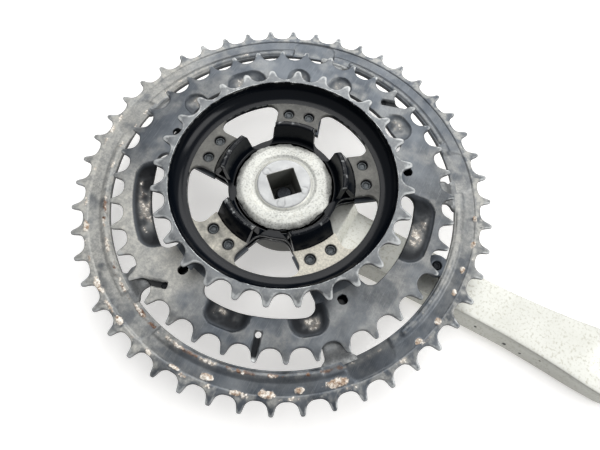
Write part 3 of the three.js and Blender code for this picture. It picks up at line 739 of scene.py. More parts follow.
OUTER_BORE = 82.5
BAND = (86.9, 92.3)                 # sunk flat band between the bead and the teeth
BEAD = dict(middle=84.7, half=1.7, height=0.8, from_arm=11.5, to_arm=58.5)
PAD_HALF = 7.4                      # the smooth dips in line with the spider arms, in degrees
LUG = dict(half=5.6, end=66.0, low=4.9, ramp=(77.0, 82.0), thick=2.2)
PIN_EYE = (79.2, 0.9)
MUD_SPOTS = (                       # radius, angle, half width in degrees, half height in mm
    (91.9, -65.2, 2.0, 1.7), (90.2, -46.8, 3.6, 2.0), (90.4, -57.0, 1.3, 1.3), (90.4, 3.1, 1.2, 1.3),
    (91.0, -4.3, 1.0, 1.1), (90.2, -81.3, 1.8, 1.2), (92.8, -73.0, 1.4, 0.9), (92.4, -90.0, 1.6, 0.8),
    (91.8, -14.0, 1.1, 1.3), (91.5, -22.0, 1.3, 1.1), (92.2, 12.0, 0.9, 1.1), (91.8, 20.0, 0.9, 0.9),
    (93.4, -110.0, 1.6, 1.2), (94.0, -122.0, 1.6, 1.0), (93.0, -140.0, 1.4, 1.1),
)


def mud(radius, degrees, x, y):
    """Caked mud from 0 to 1: a few big cakes, and crumbs along the bead and the step by the teeth."""
    ragged = 0.5 + 1.0 * lumps(x, y, 2.4, 33)
    cakes = [1.3 - np.hypot(wrapped(degrees - angle) / wide, (radius - middle) / high) * ragged
             for middle, angle, wide, high in MUD_SPOTS]
    cake = np.clip(np.max(cakes, axis=0) * 1.6, 0, 1)
    low_side = 0.5 - 0.5 * np.sin(np.radians(degrees + 30.0))
    crumbs = smooth(0.52, 0.72, lumps(x, y, 4.2, 21) + 0.14 * (low_side - 0.5))
    at_step = np.exp(-((radius - 93.4) / 1.3) ** 2)
    at_bead = np.exp(-((radius - 84.7) / 1.2) ** 2) * 0.95
    return np.clip(cake + (0.25 + 0.5 * low_side) * crumbs * np.maximum(at_step, at_bead), 0, 1)


def outer_ring():
    """The ring as a polar grid of heights: its plate, less the sunk band and the pads, plus the bead.

    The bead is a half round that runs from arm to arm along its middle radius.
    """
    fixed = np.concatenate([np.arange(83.0, 93.4, 0.43), [93.7]])
    degrees, radius, edge = ring_grid(OUTER, lambda a: OUTER_BORE, fixed)
    spoke = degrees[:, None] + np.zeros_like(radius)
    x, y = radius * np.cos(np.radians(spoke)), radius * np.sin(np.radians(spoke))
    arm = from_nearest(spoke, FIRST_ARM)
    pad = smooth(0.6, -0.6, arc_patch(radius, arm, 0.0, PAD_HALF, 79.0, 92.4, 4.0))
    band = smooth(0.3, -0.3, np.abs(radius - sum(BAND) / 2) - (BAND[1] - BAND[0]) / 2) * (1 - pad)
    bead_centre = (BEAD["from_arm"] + BEAD["to_arm"]) / 2
    past = np.abs((spoke - FIRST_ARM) % ARM_STEP - bead_centre) - (BEAD["to_arm"] - BEAD["from_arm"]) / 2
    past_mm = np.radians(past) * BEAD["middle"] + BEAD["half"]
    bead_edge = np.hypot(np.maximum(past_mm, 0), radius - BEAD["middle"]) - BEAD["half"]
    bead = np.sqrt(np.clip(-bead_edge / BEAD["half"], 0, 1))
    cake = mud(radius, spoke, x, y)
    wavy = 0.25 * (lumps(x, y, 9.0, 5) - 0.5)
    top = (PLATE_HALF - 0.45 * band - 0.75 * pad + BEAD["height"] * bead + wavy * (1 - bead)
           + smooth(0.5, 0.9, cake) * (0.1 + 0.7 * lumps(x, y, 1.7, 8)))
    top -= rolled(edge, 0.7, 0.35) + tooth_taper(OUTER, radius) + rolled(radius - OUTER_BORE, 0.5, 0.3)
    bottom = np.full_like(top, -PLATE_HALF) + rolled(edge, 0.7, 0.3) + tooth_taper(OUTER, radius)
    dusty_side = near(spoke, -155.0, 85.0, 30.0) + 0.6 * near(spoke, 20.0, 35.0, 10.0)
    frost = smooth(0.38, 0.62, lumps(x, y, 2.6, 45))
    on_crest = np.exp(-((radius - 84.6) / 1.3) ** 2) * smooth(0.40, 0.60, lumps(x, y, 4.0, 47))
    under = near(spoke, -100.0, 80.0, 40.0)
    # The pads near -36 and 180 degrees are darker.
    pad_darkening = pad * (0.30 * near(spoke, -36.0, 30.0, 20.0)
                       + 0.16 * near(spoke, -180.0, 30.0, 20.0))
    wear = (0.35 * smooth(1.3, 0.3, edge) + 0.6 * smooth(0.7, 1.0, bead) * lumps(x, y, 3.0, 41)
            + 0.5 * smooth(95.0, 98.0, radius) + 0.25 * smooth(1.2, 0.2, np.abs(radius - 92.6)))
    cloudy = smooth(0.36, 0.72, lumps(x, y, 6.0, 51) + 0.2 * dusty_side)
    powder = cloudy * (0.08 + 0.45 * dusty_side) + 0.18 * dusty_side
    lodged = (0.6 * np.exp(-((radius - 93.3) / 0.9) ** 2) + 0.5 * np.exp(-((radius - 84.4) / 1.4) ** 2)
              + 1.2 * np.exp(-((radius - 95.2) / 1.5) ** 2)) * (0.45 + 0.45 * dusty_side)
    rust = 0.3 * smooth(0.62, 0.8, lumps(x, y, 5.0, 61)) + 0.85 * on_crest * under
    # Painted shade along the toothed edge.
    marks = dict(wear=np.clip(wear, 0, 1), dust=np.clip(powder + frost * lodged, 0, 0.85),
                 rust=np.clip(rust, 0, 1), crust=cake,
                 grime=np.clip(0.55 * smooth(0.35, 0.05, edge) + pad_darkening, 0, 1))
    plate = skins(polar_points(radius, spoke, top), polar_points(radius, spoke, bottom), closed=True, **marks)
    lugs = [outer_lug(FIRST_LUG + k * ARM_STEP) for k in range(5)]
    eye_x = PIN_EYE[0] * math.cos(math.radians(PIN_EYE[1]))
    eye_y = PIN_EYE[0] * math.sin(math.radians(PIN_EYE[1]))
    eye = turned(rounded([(2.0, 0.2), (2.0, -1.1), (5.4, -1.1), (5.4, 1.0), (2.3, 1.0), (2.0, 0.2)],
                         [0.2, 0.5, 0.8, 0.6]), 40, (eye_x, eye_y), closed=True)
    piece("large_ring", [plate, *lugs, eye], ["plating"], ["outer_chainring"])


def outer_lug(direction):
    """A tongue from the outer ring's bore, which climbs in an S-bend to lie under the middle ring."""
    along = np.concatenate([np.linspace(LUG["end"], 76.5, 12), np.linspace(77.0, 84.0, 20)])[:, None]
    across = np.linspace(-1, 1, 15)[None]
    flare = 2.2 * smooth(79.0, 82.6, along) ** 2
    y = across * (LUG["half"] + flare)
    x = np.sqrt(along ** 2 - y ** 2)
    climb = smooth(LUG["ramp"][1], LUG["ramp"][0], along) + 0 * y
    start = PLATE_HALF - 0.1
    top = start + (LUG["low"] - start) * climb - 0.35 * smooth(0.85, 1.0, np.abs(across))
    worn = 0.5 * smooth(77.5, 80.0, along) + 0 * top
    return tilted_plate(x, y, top, top - LUG["thick"], direction, wear=worn, dust=0.3 + 0 * top)


def tilted_plate(x, y, top, bottom, direction, gone=None, **marks):
    """A plate drawn along +X, turned to its direction about the crank axis."""
    c, s = math.cos(math.radians(direction)), math.sin(math.radians(direction))
    return skins(placed(x * c - y * s, x * s + y * c, top), placed(x * c - y * s, x * s + y * c, bottom),
                 gone=gone, **marks)


# --------------------------------------------------------------------------------------------------
# Middle ring
# --------------------------------------------------------------------------------------------------

MIDDLE_WINDOW = 62.0
MIDDLE_LUG = dict(half=11.0, fillet=5.0, end=34.0, low=4.0, ramp=(45.0, 50.5), thick=2.2)
POCKETS = (                          # angle, half length in degrees, outer radius
    (-51.5, 8.0, 70.6), (-82.8, 9.6, 71.0), (-142.4, 20.6, 70.2), (8.8, 15.4, 71.4), (58.8, 7.3, 71.5),
    (92.0, 5.5, 70.0), (112.0, 5.5, 68.6), (137.0, 9.5, 69.0), (163.0, 5.5, 70.0),
)
POCKET_DEPTH = 2.3
NOTCH = (69.2, -69.7, 1.35)
RAISE_PINS = ((69.7, -108.0), (69.7, 72.0))
GROOVES = (                          # radius and angle of the hole they start from, lean, length
    (69.7, -108.0, -55.0, 13.0), (69.7, 72.0, -55.0, 13.0), (69.2, -69.7, -4.0, 11.5),
)


def fillet_curve(circle, half, fillet, samples=14):
    """Polar points of the curve between a straight lug's side and the circle that it grows from."""
    height = half + fillet
    reach = circle - fillet
    centre_x = math.sqrt(reach ** 2 - height ** 2)
    turn = np.linspace(-math.pi / 2, math.atan2(height, centre_x), samples)
    x, y = centre_x + fillet * np.cos(turn), height + fillet * np.sin(turn)
    return np.degrees(np.arctan2(y, x)), np.hypot(x, y), y


def middle_inner_edge(degrees):
    """Radius of the windows' outer edge, which turns inwards at each lug."""
    angle, radius, _ = fillet_curve(MIDDLE_WINDOW, MIDDLE_LUG["half"], MIDDLE_LUG["fillet"])
    return np.interp(np.abs(from_nearest(degrees, FIRST_ARM)), angle, radius)


def lug_half_width(radius, circle, half, fillet):
    """Half width of a lug at each radius: straight, then flared into its circle."""
    _, r, y = fillet_curve(circle, half, fillet)
    return np.interp(radius, r, y)


def middle_ring():
    """The ring as a polar grid of heights: its plate, less the pockets and grooves, and its holes."""
    degrees, radius, edge = ring_grid(MIDDLE, middle_inner_edge, np.arange(63.0, 73.6, 0.42))
    spoke = degrees[:, None] + np.zeros_like(radius)
    holes = [(59.6, FIRST_ARM + k * ARM_STEP, 2.4) for k in range(5)]
    holes += [(r, a, 1.6) for r, a in RAISE_PINS] + [NOTCH]
    radius, spoke, gone = punched(radius, spoke, holes)
    x, y = radius * np.cos(np.radians(spoke)), radius * np.sin(np.radians(spoke))
    inner = middle_inner_edge(spoke)
    pocket = np.max([pocket_depth(radius, spoke, *where) for where in POCKETS], axis=0)
    slots = np.max([slot_depth(x, y, *groove) for groove in GROOVES], axis=0)
    grit = lumps(x, y, 1.6, 71) - 0.45
    high = MIDDLE["middle"] + PLATE_HALF
    sunk = POCKET_DEPTH * pocket
    wavy = 0.2 * (lumps(x, y, 8.0, 75) - 0.5)
    top = high - sunk - 1.4 * slots + wavy + 0.35 * grit * smooth(0.2, 0.6, pocket)
    top -= rolled(edge, 0.7, 0.35) + tooth_taper(MIDDLE, radius)
    at_window = from_nearest(spoke, FIRST_ARM)
    top -= rolled(radius - inner, 0.5, 0.3) * smooth(10.0, 12.0, np.abs(at_window))
    bottom = MIDDLE["middle"] - PLATE_HALF - 0.8 * sunk + rolled(edge, 0.7, 0.3) + tooth_taper(MIDDLE, radius)
    low_left = near(spoke, -126.0, 44.0, 14.0)
    rim = smooth(0.02, 0.10, pocket) * smooth(0.34, 0.16, pocket)
    streak = smooth(0.25, 0.65, lumps(x, y, 7.0, 81))
    gloom = 0.30 + 0.62 * near(spoke, -67.0, 112.0, 88.0)
    litter = np.max([pocket_litter(radius, spoke, *where) for where in POCKETS], axis=0)
    # The wear includes a painted highlight along the grooves' edges.
    wear = (0.3 * smooth(1.3, 0.3, edge) + 0.45 * smooth(75.5, 79.0, radius) + 0.5 * rim
            + 0.6 * smooth(0.03, 0.25, slots) * smooth(0.8, 0.5, slots)
            + 0.35 * smooth(0.7, 0.2, radius - inner) * smooth(10, 12, np.abs(at_window)))
    powder = (0.85 * low_left * smooth(0.25, 0.60, lumps(x, y, 13.0, 91) + 0.16)
              + 0.22 * smooth(0.46, 0.75, lumps(x, y, 8.0, 95))
              + 0.14 * near(spoke, -10.0, 70.0, 20.0))
    dust = powder * smooth(0.3, 0.05, pocket) + 0.6 * litter * streak
    rust = 0.4 * litter * smooth(0.45, 0.70, lumps(x, y, 3.0, 97)) + 0.3 * low_left * lumps(x, y, 7.0, 99)
    # Painted shade in the pockets, deeper towards -67 degrees, in the grooves and along the toothed edge; a
    # little darker near 180 degrees.
    grime = (gloom * smooth(0.05, 0.6, pocket) * (1 - 0.6 * litter * streak)
             + 0.95 * smooth(0.4, 0.9, slots) + 0.5 * smooth(0.35, 0.05, edge)
             + 0.14 * near(spoke, 180.0, 50.0, 20.0))
    marks = dict(wear=wear, dust=dust, rust=rust, crust=0.52 * litter * streak, grime=grime)
    marks = {name: np.clip(value, 0, 1) for name, value in marks.items()}
    plate = skins(polar_points(radius, spoke, top), polar_points(radius, spoke, bottom), closed=True,
                  gone=gone, **marks)
    lugs = [middle_lug(FIRST_ARM + k * ARM_STEP) for k in range(5)]
    piece("middle_ring", [plate, *lugs], ["plating"], ["middle_chainring"])


def pocket_depth(radius, degrees, centre, half_length, outside):
    """A dent that opens at the window's edge: 0 at its rim and 1 at its deepest, along the edge."""
    past = arc_patch(radius, degrees, centre, half_length, 54.0, outside, 6.4)
    return np.sqrt(np.clip(-past / 7.0, 0, 1)) * smooth(0.25, -0.35, past)


def pocket_litter(radius, degrees, centre, half_length, outside):
    """Where dried mud gathers in a pocket: along the middle of the window's edge."""
    beside = np.abs(wrapped(degrees - centre)) / half_length
    along = smooth(0.75, 0.35, beside)
    across = smooth(outside - 1.2, outside - 4.0, radius) * smooth(61.5, 63.0, radius)
    return along * across


def slot_depth(x, y, radius, angle, lean, length):
    """A slanted groove from a hole out to the teeth."""
    a = math.radians(angle)
    px, py = radius * math.cos(a), radius * math.sin(a)
    lean = a + math.radians(lean)
    along = (x - px) * math.cos(lean) + (y - py) * math.sin(lean)
    across = (y - py) * math.cos(lean) - (x - px) * math.sin(lean)
    return smooth(1.9, 1.0, np.abs(across)) * smooth(-1.6, -0.6, along) * smooth(length, length - 3.0, along)


def middle_lug(direction):
    """A tongue from the middle ring's window edge down to the spider."""
    end, low, ramp_ends = MIDDLE_LUG["end"], MIDDLE_LUG["low"], MIDDLE_LUG["ramp"]
    along = np.linspace(end, 57.5, 44)[:, None]
    across = np.linspace(-1, 1, 23)[None]
    half = lug_half_width(along, MIDDLE_WINDOW, MIDDLE_LUG["half"], MIDDLE_LUG["fillet"])
    y = across * half
    x = np.sqrt(along ** 2 - y ** 2)
    level = MIDDLE["middle"] + PLATE_HALF - 0.04
    top = level + (low - level) * smooth(ramp_ends[1], ramp_ends[0], along) + 0 * y
    top = top - 0.3 * smooth(0.92, 1.0, np.abs(across))
    return tilted_plate(x, y, top, top - MIDDLE_LUG["thick"], direction)


# --------------------------------------------------------------------------------------------------
# Inner ring and its dish
# --------------------------------------------------------------------------------------------------

DISH = dict(inside=44.7, rim=51.7, floor=9.3, thick=2.2)
TAB = dict(half=10.4, fillet=4.5, end=33.4)
RIVETS = dict(radius=38.5, offset=7.59, hole=2.45)
TAB_DUST = (0.38, 0.34, 0.42, 0.85, 1.4)


def dish_height(radius):
    """A quarter of an ellipse, level at the tabs and steep at the rim, then the ring's flat."""
    level = INNER["middle"] + PLATE_HALF
    t = np.clip((radius - DISH["inside"]) / (DISH["rim"] - DISH["inside"]), 0, 1)
    return level - (level - DISH["floor"]) * np.sqrt(np.clip(1 - (0.985 * t) ** 2.1, 0, 1)) ** 0.9 * (t < 1)


def dish_underside(radius):
    """Height of the dish's lower face: level below the tabs, then up the wall to the ring."""
    return np.interp(radius, [44.0, 46.6, 49.6, 51.6, 53.2], [7.1, 7.1, 9.2, 11.9, 14.9])


def inner_ring():
    """The toothed ring and its dish as one polar grid, whose height follows the dish's own curve."""
    fixed = np.concatenate([np.linspace(45.2, 50.2, 13), np.linspace(50.5, 51.7, 7),
                            np.linspace(51.85, 53.0, 5)])
    degrees, radius, edge = ring_grid(INNER, lambda a: DISH["inside"], fixed)
    spoke = degrees[:, None] + np.zeros_like(radius)
    x, y = radius * np.cos(np.radians(spoke)), radius * np.sin(np.radians(spoke))
    tab_angle = fillet_curve(DISH["inside"], TAB["half"], TAB["fillet"])[0].max()
    at_window = smooth(tab_angle - 1.5, tab_angle + 0.5, np.abs(from_nearest(spoke, FIRST_ARM)))
    top = dish_height(radius) - rolled(edge, 0.7, 0.35) - tooth_taper(INNER, radius)
    top -= rolled(radius - DISH["inside"], 0.35, 0.25) * at_window
    bottom = dish_underside(radius) + rolled(edge, 0.7, 0.3) + tooth_taper(INNER, radius)
    teeth = smooth(51.9, 52.2, radius)
    worn_rim = smooth(0.30, 0.1, np.abs(radius - 51.75)) * (0.45 + 0.5 * lumps(x, y, 9.0, 101))
    worn_teeth = teeth * (0.35 + 0.35 * smooth(1.4, 0.4, edge) + 0.3 * smooth(55.0, 58.0, radius))
    worn_inside = 0.6 * smooth(0.32, 0.05, radius - DISH["inside"]) * at_window
    # Painted shade along the toothed edge.
    marks = dict(wear=np.clip(worn_rim + worn_inside + worn_teeth, 0, 1), dust=0.2 * teeth,
                 grime=0.5 * smooth(0.3, 0.05, edge))
    plate = skins(polar_points(radius, spoke, top), polar_points(radius, spoke, bottom), closed=True, **marks)
    corner = plate["points"][plate["faces"]].mean(axis=1)
    plate["finish"] = (np.hypot(corner[:, 0] - AXIS_X, corner[:, 1] - AXIS_Y) > 51.95 * MM).astype(int)
    tabs = [dish_tab(FIRST_ARM + k * ARM_STEP, k) for k in range(5)]
    piece("small_ring_and_dish", [plate, *tabs], ["enamel", "plating"], ["inner_chainring"])


def dish_tab(direction, number):
    """A flat tab from the dish's inner edge, with two chamfered holes for its rivets."""
    end = TAB["end"]
    along = np.concatenate([[end, end + 0.12], np.linspace(end + 0.3, 45.4, 34)])[:, None]
    across = np.concatenate([[-1, -0.985], np.linspace(-0.96, 0.96, 57), [0.985, 1]])[None]
    half = lug_half_width(along, DISH["inside"], TAB["half"], TAB["fillet"])
    y = across * half
    x = np.sqrt(along ** 2 - y ** 2)
    radius, degrees = np.hypot(x, y), np.degrees(np.arctan2(y, x))
    holes = [(RIVETS["radius"], side * RIVETS["offset"], RIVETS["hole"]) for side in (-1, 1)]
    radius, degrees, gone = punched_sheet(radius, degrees, holes)
    x, y = radius * np.cos(np.radians(degrees)), radius * np.sin(np.radians(degrees))
    to_hole = np.min([np.hypot(x - r * math.cos(math.radians(a)), y - r * math.sin(math.radians(a))) - size
                      for r, a, size in holes], axis=0)
    to_edge = np.minimum((1 - np.abs(across)) * half, along - end + 0 * y)
    top = DISH["floor"] - rolled(to_hole, 0.45, 0.4) - rolled(to_edge, 0.35, 0.25)
    bottom = np.full_like(top, DISH["floor"] - DISH["thick"]) + 0.03 * smooth(44.0, 45.0, radius)
    top = top - 0.03 * smooth(44.4, 45.2, radius)
    powder = TAB_DUST[number] * (0.90 + 0.9 * (lumps(x + 60, y + 60, 3.6, 120 + number) - 0.5))
    marks = dict(wear=np.clip(0.55 * smooth(0.35, 0.05, to_edge) + 0.25 * smooth(0.5, 0.2, to_hole), 0, 1),
                 dust=np.clip(powder * smooth(-0.2, 0.7, to_hole), 0, 1))
    return tilted_plate(x, y, top, bottom, direction, gone=gone, **marks)


def punched_sheet(radius, degrees, holes):
    """Round holes in an open grid: the closed one's way, with a spare row that is never cut."""
    spare = np.vstack([radius, radius[-1:]]), np.vstack([degrees, degrees[-1:]])
    radius, degrees, gone = punched(*spare, holes)
    return radius[:-1], degrees[:-1], gone[:-2]


# --------------------------------------------------------------------------------------------------
# Spider and the flat plate below it
# --------------------------------------------------------------------------------------------------

SPIDER = dict(bore=18.3, hub=26.2, half=9.7, fillet=6.0, low=4.3, high=6.5)
WALL_FACE = rounded([(22.6, 6.5), (24.7, 6.5), (26.8, 17.2), (28.9, 17.2), (34.0, 7.6), (36.5, 6.8),
                     (43.8, 6.8)], [1.9, 0.85, 0.85, 1.0, 1.0], steps=6)
WALL_BACK = rounded([(22.6, 4.4), (26.6, 4.3), (28.3, 13.5), (28.7, 13.5), (32.6, 4.7), (36.5, 4.3),
                     (43.8, 4.3)], [1.5, 0.1, 0.1, 1.0, 1.0], steps=6)
# The plate's arms reach 64 mm so that they lie under the middle ring's guide holes: a dark sheet standing in
# for the shade in those holes.
LOWER_PLATE = dict(bore=20.3, hub=25.6, end=64.0, half_root=9.9, half_end=7.4, fillet=6.0, low=-1.0, high=1.5)


def star_radius(degrees, hub, half_root, half_end, end, fillet):
    """Radius of a hub with five straight arms: the hub's circle, a fillet, the arm's side, then its end."""
    turn = from_nearest(degrees, FIRST_ARM)
    height = half_root + fillet
    centre_x = math.sqrt((hub + fillet) ** 2 - height ** 2)
    bend = np.linspace(math.pi + math.atan2(height, centre_x), 1.5 * math.pi, 12)
    x = np.concatenate([centre_x + fillet * np.cos(bend), [end - 1.2, end]])
    y = np.concatenate([height + fillet * np.sin(bend), [half_end, half_end - 1.2]])
    corners_x = np.concatenate([x, [end]])
    corners_y = np.concatenate([y, [0.0]])
    steps = np.linspace(0, 1, 9)[:-1]
    path_x = (corners_x[:-1, None] + np.diff(corners_x)[:, None] * steps).reshape(-1)
    path_y = (corners_y[:-1, None] + np.diff(corners_y)[:, None] * steps).reshape(-1)
    angle = np.degrees(np.arctan2(path_y, path_x))
    order = np.argsort(angle)
    return np.interp(np.abs(turn), angle[order], np.hypot(path_x, path_y)[order])


def star_plate(bore, low, high, spokes=1080, **outline):
    """A flat star-shaped plate with softened upper edges."""
    degrees = np.linspace(0, 360, spokes, endpoint=False)
    edge = star_radius(degrees, **outline)
    share = np.array([0.0, 0.03, 0.25, 0.5, 0.75, 0.93, 0.975, 1.0])
    radius = bore + (edge[:, None] - bore) * share
    spoke = degrees[:, None] + np.zeros_like(radius)
    drop = np.array([0.25, 0.0, 0.0, 0.0, 0.0, 0.0, 0.06, 0.3])
    worn = np.array([0.0, 0.0, 0.0, 0.0, 0.0, 0.0, 0.35, 0.6])
    return skins(polar_points(radius, spoke, high - drop), polar_points(radius, spoke, low + drop * 0.5),
                 closed=True, wear=np.broadcast_to(worn, radius.shape))


def spider():
    """The pressed spider: a star-shaped core and its five formed arms."""
    core = star_plate(SPIDER["bore"], SPIDER["low"], SPIDER["high"], hub=SPIDER["hub"],
                      half_root=SPIDER["half"], half_end=SPIDER["half"], end=34.0, fillet=SPIDER["fillet"])
    arms = [spider_arm(FIRST_ARM + k * ARM_STEP) for k in range(5)]
    piece("pressed_spider", [core, *arms], ["enamel"], ["spider"])


def spider_arm(direction):
    """One arm: sheet steel that rises from the core in a hollow wall, folds over and drops to a pad."""
    across = np.concatenate([[-1, -0.985, -0.96], np.linspace(-0.93, 0.93, 21), [0.96, 0.985, 1]])
    radius, height = WALL_FACE[:, 0][:, None], WALL_FACE[:, 1][:, None]
    flare = 1.6 * smooth(26.0, 23.0, radius) - 0.5 * smooth(16.0, 17.2, height)
    half = SPIDER["half"] + flare
    end_round = rolled((1 - np.abs(across)) * half, 0.8, 0.7)
    crest = smooth(12.0, 17.2, height)
    y = across * half
    x = np.sqrt(radius ** 2 - y ** 2)
    back_radius, back_height = WALL_BACK[:, 0][:, None], WALL_BACK[:, 1][:, None]
    back_y = across * (half + 0 * back_radius)
    back_x = np.sqrt(back_radius ** 2 - back_y ** 2)
    c, s = math.cos(math.radians(direction)), math.sin(math.radians(direction))
    face = placed(x * c - y * s, x * s + y * c, height - end_round * crest + 0 * y)
    back = placed(back_x * c - back_y * s, back_x * s + back_y * c, back_height + 0 * back_y)
    side_edge = smooth(0.97, 1.0, np.abs(across)) * smooth(7.0, 9.0, height)
    worn = 0.42 * smooth(16.3, 17.1, height) + 0.3 * side_edge
    return skins(face, back, wear=np.clip(worn, 0, 1))


def lower_plate():
    """The flat star-shaped plate under the spider."""
    plate = star_plate(LOWER_PLATE["bore"], LOWER_PLATE["low"], LOWER_PLATE["high"], hub=LOWER_PLATE["hub"],
                       half_root=LOWER_PLATE["half_root"], half_end=LOWER_PLATE["half_end"],
                       end=LOWER_PLATE["end"], fillet=LOWER_PLATE["fillet"])
    piece("lower_spider_plate", [plate], ["enamel"], ["spider_base_plate"])


# --------------------------------------------------------------------------------------------------
# Crank arm
# --------------------------------------------------------------------------------------------------

ARM_LENGTH = 170.0
ARM_BACK = -21.5
BOSS_PAD = -1.3
EYE = dict(radius=15.4, bore=7.15, spot=10.5, spot_depth=0.5)
RECESS = dict(radius=11.0, floor=-8.5)
HOLE_IN_BODY = 11.6                 # the arm's body ends here and the hub's own surface begins
SQUARE = dict(face=13.1, seat=12.2, floor=-6.5, turn=1.6)
HALF_WIDTHS = (                     # place along the arm and half its width there, on the outboard side
    (0, 24.0), (8, 22.4), (14, 19.3), (20, 16.8), (28, 14.8), (36, 13.9), (60, 13.3), (100, 12.9),
    (125, 13.0), (145, 13.9), (158, 15.0), (170, 15.4),
)
TOP_HALF_WIDTHS = (                 # the same on the frame side
    (0, 23.0), (8, 21.4), (14, 18.2), (20, 15.4), (28, 13.0), (36, 11.4), (60, 10.6), (100, 10.0),
    (120, 10.4), (135, 11.3), (148, 12.5), (160, 14.1), (170, 14.7),
)


def eased(table, value):
    """Smooth curve through a short table: straight steps averaged over six millimetres."""
    at, height = np.array(table, float).T
    return np.mean([np.interp(value + d, at, height) for d in np.linspace(-3, 3, 7)], axis=0)


def arm_top(x):
    """Height of the arm's frame side: the pad under the spider, a short slope, then the shaft."""
    shaft = -7.2 - 1.4 * np.clip((x - 35.6) / 115.0, 0, 1)
    return BOSS_PAD + (shaft - BOSS_PAD) * np.clip((x - 32.5) / 3.1, 0, 1)


def arm_stations():
    """Directions round the boss, places along the shaft and directions round the eye, for the arm's loops."""
    boss = np.radians(np.linspace(90, 270, 49)[:-1])
    stretches = ((0, 11.6, 9), (13, 30, 10), (31, 37, 13), (38.5, 158, 61), (160, 162.85, 4), (164, 170, 6))
    along = np.concatenate([np.linspace(*stretch) for stretch in stretches])
    eye = np.radians(np.linspace(-90, 90, 49)[1:-1])
    return boss, along, eye


def loop(boss_radius, half_width, eye_radius):
    """One closed loop: round the boss, along one side, round the eye and back along the other side."""
    boss, along, eye = arm_stations()
    round_boss = np.sqrt(np.clip(boss_radius ** 2 - along ** 2, 0, None))
    round_eye = np.sqrt(np.clip(eye_radius ** 2 - (along - ARM_LENGTH) ** 2, 0, None))
    side = np.maximum(half_width(along), np.maximum(round_boss, round_eye))
    x = np.concatenate([boss_radius * np.cos(boss), along,
                        ARM_LENGTH + eye_radius * np.cos(eye), along[::-1]])
    y = np.concatenate([boss_radius * np.sin(boss), -side, eye_radius * np.sin(eye), side[::-1]])
    return x, y


def hole_loop():
    """The rims of the boss's and the eye's holes, joined by a slit of no width along the arm's middle."""
    def half(along):
        boss = np.clip(HOLE_IN_BODY ** 2 - along ** 2, 0, None)
        eye = np.clip(EYE["bore"] ** 2 - (along - ARM_LENGTH) ** 2, 0, None)
        return np.sqrt(boss) + np.sqrt(eye)
    return loop(HOLE_IN_BODY, half, EYE["bore"])


def scaled(table, share, inset=0.0):
    """Half width as a function of the place along the arm, from a table."""
    return lambda x: eased(table, x) * share - inset


def arm_body():
    """The casting without its hub: loops run from the holes' rims over the top, down the side and under.

    Each loop is its outline, its height as a function of x and y, and how much painted shade it carries: dark
    lines along the edges and a darker side.
    """
    reach, bore, spot = EYE["radius"], EYE["bore"], EYE["spot"]

    def spot_faced(x, y):
        return arm_top(x) - EYE["spot_depth"] * (np.hypot(x - ARM_LENGTH, y) < spot + 0.05)

    def lowered(drop):
        return lambda x, y: arm_top(x) - drop

    loops = [(hole_loop(), spot_faced, 0.0),
             (loop(13.0, scaled(TOP_HALF_WIDTHS, 0.30), spot - 1.5), spot_faced, 0.0),
             (loop(15.0, scaled(TOP_HALF_WIDTHS, 0.50), spot), spot_faced, 0.0),
             (loop(15.6, scaled(TOP_HALF_WIDTHS, 0.55), spot + 0.15), lowered(0.0), 0.0),
             (loop(20.0, scaled(TOP_HALF_WIDTHS, 0.80), reach - 3.2), lowered(0.0), 0.0),
             (loop(22.0, scaled(TOP_HALF_WIDTHS, 1.0, 1.0), reach - 1.8), lowered(0.0), 0.0),
             (loop(22.8, scaled(TOP_HALF_WIDTHS, 1.0, 0.3), reach - 1.1), lowered(0.14), 0.10),
             (loop(23.1, scaled(TOP_HALF_WIDTHS, 1.0), reach - 0.8), lowered(0.6), 0.55),
             (loop(23.2, scaled(TOP_HALF_WIDTHS, 1.0, -0.15), reach - 0.7), lowered(1.3), 0.46)]
    for share in (0.25, 0.5, 0.75, 1.0):
        half = lambda x, t=share: eased(TOP_HALF_WIDTHS, x) * (1 - t) + eased(HALF_WIDTHS, x) * t
        height = lambda x, y, t=share: (arm_top(x) - 1.3) * (1 - t) + (arm_back(x) + 2.6) * t
        loops.append((loop(23.2 + 0.6 * share, half, reach - 0.7 + 0.6 * share), height, 0.36))
    for turn in (25, 50, 70, 90):
        lift = 2.4 * (1 - math.sin(math.radians(turn)))
        inset = 2.4 * (1 - math.cos(math.radians(turn)))
        loops.append((loop(23.8 - inset, scaled(HALF_WIDTHS, 1.0, inset), reach - 0.1 - inset),
                      lambda x, y, lift=lift: arm_back(x) + lift, 0.6 if turn == 25 else 0.3))
    loops += [(loop(18.0, scaled(HALF_WIDTHS, 0.6), reach - 4.0), lambda x, y: arm_back(x), 0.0),
              (loop(14.0, scaled(HALF_WIDTHS, 0.3), bore + 2.0), lambda x, y: arm_back(x), 0.0),
              (hole_loop(), lambda x, y: arm_back(x), 0.0)]
    grid = np.stack([placed(x, y, height(x, y)) for (x, y), height, _ in loops], axis=1)
    loop_shade = np.array([loop_shade for _, _, loop_shade in loops])
    x = (grid[..., 0] - AXIS_X) / MM
    # Painted shade on the side near the boss and on the pad under the spider; a little darker towards the
    # eye.
    grime = np.maximum(loop_shade[None], 0.93 * smooth(34.0, 16.0, x) * (loop_shade > 0))
    on_pad = smooth(-5.0, -3.0, (grid[..., 2] - BASE_HEIGHT) / MM) * (loop_shade == 0)
    grime = np.maximum(grime, 0.5 * smooth(32.8, 31.6, x) * on_pad) + 0.12 * smooth(100.0, 145.0, x)
    faces = quads(*grid.shape[:2], True, True)
    x, y = hole_loop()
    closed = (np.abs(y) < 1e-6) & (x > 0) & (x < ARM_LENGTH)
    slit = closed & np.roll(closed, -1)
    kept = np.ones(faces.shape[:2], bool)
    kept[slit, -1] = False
    return dict(points=grid.reshape(-1, 3), faces=faces[kept], marks=dict(dust=grime.reshape(-1)))


